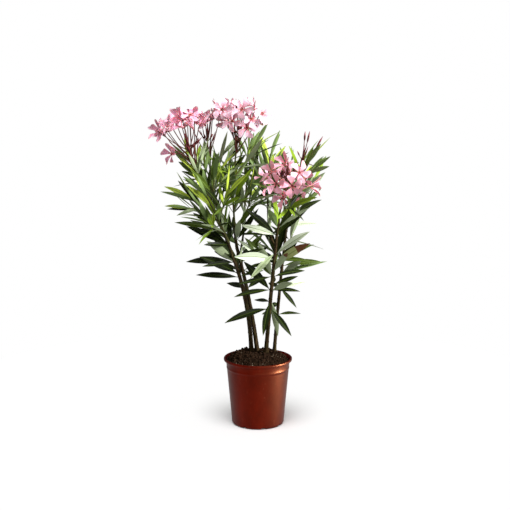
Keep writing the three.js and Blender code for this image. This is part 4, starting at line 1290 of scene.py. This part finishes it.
def spikes(chosen, count, foot, tip, width, seed):
    """Little three-sided spikes in a ring about each flower's axis, from a foot to a tip, each
    given by its radius and its rise."""
    swing = SPIKE_SWING * np.random.default_rng(seed).uniform(-1, 1, (len(chosen), count))
    turn = column(chosen, "turn")[:, None] + 360 / count * (np.arange(count) + swing)
    centre, facing = (column(chosen, key)[:, None] for key in ("centre", "facing"))
    size = column(chosen, "size")[:, None, None]
    out = outward(facing, turn)
    side = np.cross(facing, out)
    low, high = (centre + (out * radius + facing * rise) * size for radius, rise in (foot, tip))
    thin = np.cross(unit(high - low), side) * SPIKE_FLATNESS
    ring = np.stack([low + width * (side * math.cos(corner) + thin * math.sin(corner))
                     for corner in SPIKE_CORNERS], axis=2)
    rows = np.stack((ring, mix(ring, high[:, :, None], 0.5)), axis=2)
    return rows.reshape(-1, *rows.shape[2:]), low.reshape(-1, 3), high.reshape(-1, 3)


blossom = Skin()
blushing = np.repeat([flower["blush"] for flower in flowers], PETALS)
blossom.add(*petals(flowers), np.array(PETAL_TONES)[blushing][..., None])
blossom.add(*funnels(flowers), np.array(FUNNEL_TONES)[None, :, None])
blossom.add(*spikes(flowers, **FRINGE), HEART)
blossom.add(*spikes(flowers, **ANTHERS), ANTHER)
blossom.piece("blossom", petal_finishes, "petal", crease=60)

calyxes = Skin()
calyxes.add(*spikes(flowers, **SEPALS), TWIG_RED)
calyxes.piece("sepals", twig_finishes, "petal")

# Pot: details finer than the solid's, in millimetres

POT_SIDES = 144
POT_CREASE = 40
FOOT_ROUND = 6.2
RING_OUT = 1.1
LIP_SIDE = 2.6
LIP_TOP = 2.9
WALL_PLACES = 14
NOTCH_ARCH = 7.5
NOTCH_FOOT = -4.0
NOTCH_SPRING = 2.0
NOTCH_SQUASH = 0.62
NOTCH_REACH = (66.0, 86.0)


def revolved(outline, sides):
    """Rings of an outline of radius and height pairs turned about the pot's axis."""
    radius, height = np.array(outline, float).T[..., None, None]
    return radius * around(UP, ring_angles(sides)) + height * UP


def arc(centre, radius, start, end, steps):
    """Points on a circle in the outline's plane, between two angles in degrees."""
    angle = np.radians(np.linspace(start, end, steps))
    return [(centre[0] + radius * math.cos(a), centre[1] + radius * math.sin(a)) for a in angle]


def wall_radius(z):
    """The pot's outer radius between its foot and its shoulder."""
    return mix(POT_BASE, SHOULDER[0], (z - FOOT_HEIGHT) / (SHOULDER[1] - FOOT_HEIGHT))


def pot_outline():
    """From the underside's middle round the foot, up the wall, over the shoulder ring, the collar
    and the rolled lip, and down the inside to the floor."""
    foot = [(POT_FOOT - 8, 0.0), (POT_FOOT, 0.0)]
    foot += arc((POT_FOOT + 0.4, FOOT_ROUND), FOOT_ROUND, -88, -12, 7)
    side = [(wall_radius(z), z) for z in np.linspace(10, SHOULDER[1] - 4, WALL_PLACES)]
    out = SHOULDER[0] + RING_OUT
    ring = [(SHOULDER[0] - 0.1, -0.6), (out - 0.3, 0.6), (out, 1.6), (out, 4.2), (out - 0.2, 5.2),
            (out - 0.5, 6.2)]
    ring = [(radius, SHOULDER[1] + height) for radius, height in ring]
    collar = [(COLLAR[0] - 0.1, COLLAR[1] - 7), COLLAR, (COLLAR[0] + 0.5, COLLAR[1] + 1.6),
              (POT_RIM - 5.4, COLLAR[1] + 3.0)]
    lip = arc((POT_RIM - LIP_SIDE, POT_HEIGHT - 5.6), LIP_SIDE, -60, 0, 4)
    lip += arc((POT_RIM - LIP_TOP, POT_HEIGHT - LIP_TOP), LIP_TOP, 8, 165, 9)
    inside = [(POT_RIM - 6.6, POT_HEIGHT - 3.6), (COLLAR[0] - POT_WALL, COLLAR[1]),
              (SHOULDER[0] - POT_WALL, SHOULDER[1]), (wall_radius(90) - POT_WALL, 90),
              (wall_radius(FOOT_HEIGHT) - POT_WALL, FOOT_HEIGHT), (POT_FOOT, POT_FLOOR)]
    return foot + side + ring + collar + lip + inside


def notch_cutters():
    """Round-topped blocks where the drainage notches go, as one mesh."""
    arch = [(-NOTCH_ARCH, NOTCH_FOOT), (NOTCH_ARCH, NOTCH_FOOT), (NOTCH_ARCH, NOTCH_SPRING)]
    arch += arc((0, NOTCH_SPRING), NOTCH_ARCH, 14, 166, 9) + [(-NOTCH_ARCH, NOTCH_SPRING)]
    cutters = Skin()
    for number in range(NOTCHES):
        out = around(UP, (number + NOTCH_TURN) * 2 * math.pi / NOTCHES)
        side = np.cross(UP, out)
        rows = np.array([[out * far + side * x + UP * NOTCH_SQUASH * z for x, z in arch]
                         for far in NOTCH_REACH])
        cutters.add(rows, rows[0].mean(0), rows[1].mean(0))
    return cutters


pot_skin = Skin()
pot_skin.add(revolved(pot_outline(), POT_SIDES), (0, 0, 0), (0, 0, POT_FLOOR))
pot_piece = pot_skin.piece("pot_wall", [pot_plastic], "pot_plastic", ["pot"], crease=POT_CREASE)
cutter = notch_cutters().piece("notch_cutter", [pot_plastic], "pot_plastic")
notches = pot_piece.modifiers.new("notches", "BOOLEAN")
notches.object = cutter
notches.operation = "DIFFERENCE"
notches.solver = "MANIFOLD"
bpy.context.view_layer.update()
carved = bpy.data.meshes.new_from_object(pot_piece.evaluated_get(bpy.context.evaluated_depsgraph_get()))
pot_piece.modifiers.clear()
pot_piece.data = carved
bpy.data.objects.remove(cutter)
shade(carved, POT_CREASE)

# Soil: each clod's height, size and seed, and each mound's height, middle and spread

CLODS = ((2.8, 17, 3), (2.6, 8, 4), (1.5, 3.6, 5))
MOUNDS = ((7.5, (-48, 48), 420), (5.0, (-76, 8), 700))
SOIL_SINKS = 1.2
SOIL_SIDES = 128
SOIL_RINGS = 46
PLUG_GAP = 0.4
PLUG_TOP = 178
SOIL_RADIUS = COLLAR[0] - POT_WALL - 0.5
HEAP_RADIUS = COLLAR[0] - POT_WALL - 0.6
HEAP_CENTRE = 0.02


def heap_height(x, y):
    """The height of the compost: level round the stems, falling off to the wall by a cosine."""
    angle = np.arctan2(y, x)
    edge = np.stack((HEAP_RADIUS * np.cos(angle), HEAP_RADIUS * np.sin(angle)), -1)
    middle = np.array(HEAP_MIDDLE)
    point = np.stack((x, y), -1)
    share = np.linalg.norm(point - middle, axis=-1) / np.linalg.norm(edge - middle, axis=-1)
    fall = np.clip((share - PLATEAU) / (1 - PLATEAU), 0, 1)
    return mix(SOIL_EDGE, SOIL_HEAP, 0.5 + 0.5 * np.cos(math.pi * fall))


def soil_height(x, y):
    """The heap with its clods: noise of three sizes, raised at the back left and the left."""
    flat = np.stack((x, y, 0 * x), -1)
    clods = sum(height * roughen(flat, size, seed) for height, size, seed in CLODS)
    mound = sum(height * np.exp(-((x - middle[0]) ** 2 + (y - middle[1]) ** 2) / spread)
                for height, middle, spread in MOUNDS)
    return heap_height(x, y) + clods + mound - SOIL_SINKS


def soil_rows():
    """A plug up the inside of the pot, and over it rings of the heap, closing in on its middle."""
    inset = POT_WALL + PLUG_GAP
    plug = revolved([(POT_FOOT - PLUG_GAP, POT_FLOOR + PLUG_GAP),
                     (wall_radius(FOOT_HEIGHT) - inset, FOOT_HEIGHT + PLUG_GAP),
                     (wall_radius(100) - inset, 100), (SHOULDER[0] - inset, SHOULDER[1]),
                     (SOIL_RADIUS, PLUG_TOP)], SOIL_SIDES)
    shares = np.linspace(HEAP_CENTRE, 1, SOIL_RINGS)[::-1, None]
    rings = shares[..., None] * SOIL_RADIUS * around(UP, ring_angles(SOIL_SIDES))
    heap = rings + soil_height(rings[..., 0], rings[..., 1])[..., None] * UP
    return np.concatenate((plug, heap))


soil_skin = Skin()
soil_middle = (0.0, 0.0, float(soil_height(np.array(0.0), np.array(0.0))))
soil_skin.add(soil_rows(), (0, 0, POT_FLOOR + PLUG_GAP), soil_middle)
soil_skin.piece("compost", [soil_dark], "soil", ["soil"])

# Crumbs and grit strewn over the compost: how many, their sizes in millimetres, a seed and a finish

STREWN = ((1500, (0.7, 3.4), 5, 0), (150, (2.6, 6.4), 6, 0), (110, (0.6, 1.9), 8, 1))
CRUMB_SIDES = 7
CRUMB_RINGS = np.array((-0.62, 0.0, 0.62))
CRUMB_EDGE = 3
CRUMB_LIFT = 0.25
CRUMB_POWER = 1.6
CRUMB_SQUASH = (0.55, 1.15)
CRUMB_LUMPS = (0.75, 1.2)


def add_crumbs(skin, count, sizes, seed, kind):
    """Lumps strewn over the compost: seven-sided balls of three rings and two poles, each pushed
    in and out at random, squashed and turned every way."""
    rng = np.random.default_rng(seed)
    turn = rng.uniform(0, 2 * math.pi, count)
    far = (SOIL_RADIUS - CRUMB_EDGE) * np.sqrt(rng.uniform(0, 1, count))
    x, y = far * np.cos(turn), far * np.sin(turn)
    size = sizes[0] * (sizes[1] / sizes[0]) ** rng.uniform(0, 1, count) ** CRUMB_POWER
    centre = np.stack((x, y, soil_height(x, y) + CRUMB_LIFT * size), -1)
    tilt = np.linalg.qr(rng.normal(size=(count, 3, 3)))[0]
    tilt[np.linalg.det(tilt) < 0, :, 0] *= -1
    squash = rng.uniform(*CRUMB_SQUASH, (count, 1, 1, 3))
    level = CRUMB_RINGS[:, None, None]
    ball = np.sqrt(1 - level ** 2) * around(UP, ring_angles(CRUMB_SIDES)) + level * UP
    lumps = rng.uniform(*CRUMB_LUMPS, (count, len(CRUMB_RINGS), CRUMB_SIDES, 1))
    lumpy = ball * lumps * squash * size[:, None, None, None]
    rows = np.einsum("nrci,nij->nrcj", lumpy, tilt) + centre[:, None, None]
    poles = np.array(((0, 0, -1.0), (0, 0, 1.0))) * squash[:, 0] * size[:, None, None]
    poles = np.einsum("npi,nij->npj", poles, tilt) + centre[:, None]
    skin.add(rows, poles[:, 0], poles[:, 1], kind)


strewn = Skin()
for count, sizes, seed, kind in STREWN:
    add_crumbs(strewn, count, sizes, seed, kind)
strewn.piece("crumbs", [soil_crumb, grit], "soil", crease=30)

# Floor, lights and camera, in metres and degrees

FLOOR_RADIUS = 1.15
FLOOR_LEVEL = -0.0004
FLOOR_SIDES = 96
WORLD_LIGHT = 0.14
SUN_ANGLE = 52
STRIP_COLOUR = (1.0, 0.62, 0.4)
STRIP_SPREAD = 32
CAMERA_LENS = 74.54
CAMERA_SENSOR = 36
CAMERA_PLACE = (-0.0085, -3.0, 1.0177)
CAMERA_DIP = 9.783
FURTHEST_VIEW = 100


def pale_floor():
    """A round, plain floor just below the pot's underside."""
    rim = FLOOR_RADIUS * around(UP, ring_angles(FLOOR_SIDES)) + FLOOR_LEVEL * UP
    mesh = bpy.data.meshes.new("floor")
    mesh.from_pydata(rim.tolist(), [], [list(range(FLOOR_SIDES))])
    mesh.materials.append(finish("pale_floor", (0.86, 0.86, 0.86), 0.9, Specular_IOR_Level=0.1))
    thing = bpy.data.objects.new("floor", mesh)
    bpy.context.scene.collection.objects.link(thing)
    return thing


def studio_world():
    """White all round: full white where the camera looks, and dim where it lights the plant."""
    world = bpy.data.worlds.new("studio")
    world.use_nodes = True
    sky = world.node_tree
    lit = sky.nodes["Background"]
    lit.inputs["Color"].default_value = (1, 1, 1, 1)
    lit.inputs["Strength"].default_value = WORLD_LIGHT
    seen = sky.nodes.new("ShaderNodeBackground")
    seen.inputs["Color"].default_value = (1, 1, 1, 1)
    rays = sky.nodes.new("ShaderNodeLightPath")
    choice = sky.nodes.new("ShaderNodeMixShader")
    sky.links.new(rays.outputs["Is Camera Ray"], choice.inputs["Fac"])
    sky.links.new(lit.outputs["Background"], choice.inputs[1])
    sky.links.new(seen.outputs["Background"], choice.inputs[2])
    sky.links.new(choice.outputs["Shader"], sky.nodes["World Output"].inputs["Surface"])
    return world


def lamp(name, kind, place, aim, power, lit_only):
    """A light at a place that looks at a point and lights only one collection."""
    light = bpy.data.lights.new(name, kind)
    light.energy = power
    thing = bpy.data.objects.new(name, light)
    thing.location = place
    way = Vector(aim) - Vector(place)
    thing.rotation_euler = way.to_track_quat("-Z", "Y").to_euler()
    bpy.context.scene.collection.objects.link(thing)
    thing.light_linking.receiver_collection = lit_only
    return thing


def softbox(name, place, aim, size, power, lit_only):
    """An area light of some width and height."""
    thing = lamp(name, "AREA", place, aim, power, lit_only)
    light = thing.data
    light.shape = "RECTANGLE"
    light.size, light.size_y = size
    return thing


def group(name, things):
    """A collection outside the scene's tree, for lights to be bound to."""
    made = bpy.data.collections.new(name)
    for thing in things:
        made.objects.link(thing)
    return made


floor = pale_floor()
floor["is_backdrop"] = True
bpy.context.scene.world = studio_world()
plant = group("plant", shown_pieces())
ground = group("ground", [floor])
vessel = group("vessel", [pot_piece])
greenery = group("greenery", [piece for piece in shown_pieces() if piece.name != "pot_wall"])

wide = lamp("wide", "SUN", place=(0, -1.15, 2.4), aim=(0, 0, 0), power=3.66, lit_only=ground)
wide.data.angle = math.radians(SUN_ANGLE)
wide.light_linking.blocker_collection = vessel
softbox("overhead", place=(0, 0.1, 3.0), aim=(0, 0.1, 0), size=(1.6, 1.6), power=84, lit_only=plant)
softbox("key", place=(2.1, -0.7, 1.7), aim=(0, 0, 0.5), size=(0.6, 0.6), power=178, lit_only=greenery)
softbox("front", place=(0.4, -2.6, 2.4), aim=(0, 0, 0.6), size=(0.8, 0.8), power=38, lit_only=plant)
softbox("fill", place=(0.5, -2.5, 0.9), aim=(0, 0, 0.1), size=(1.2, 0.8), power=43, lit_only=vessel)
strip = softbox("strip", place=(1.1, -0.2, 0.24), aim=(0.06, -0.05, 0.16), size=(0.18, 0.3), power=8.5,
                lit_only=vessel)
strip.data.color = STRIP_COLOUR
strip.data.spread = math.radians(STRIP_SPREAD)
strip.visible_diffuse = False

camera_data = bpy.data.cameras.new("camera")
camera_data.lens = CAMERA_LENS
camera_data.sensor_width = CAMERA_SENSOR
camera_data.clip_end = FURTHEST_VIEW
camera = bpy.data.objects.new("camera", camera_data)
camera.location = CAMERA_PLACE
camera.rotation_euler = (math.radians(90 - CAMERA_DIP), 0, 0)
bpy.context.scene.collection.objects.link(camera)
bpy.context.scene.camera = camera
bpy.context.scene.view_settings.view_transform = "Standard"
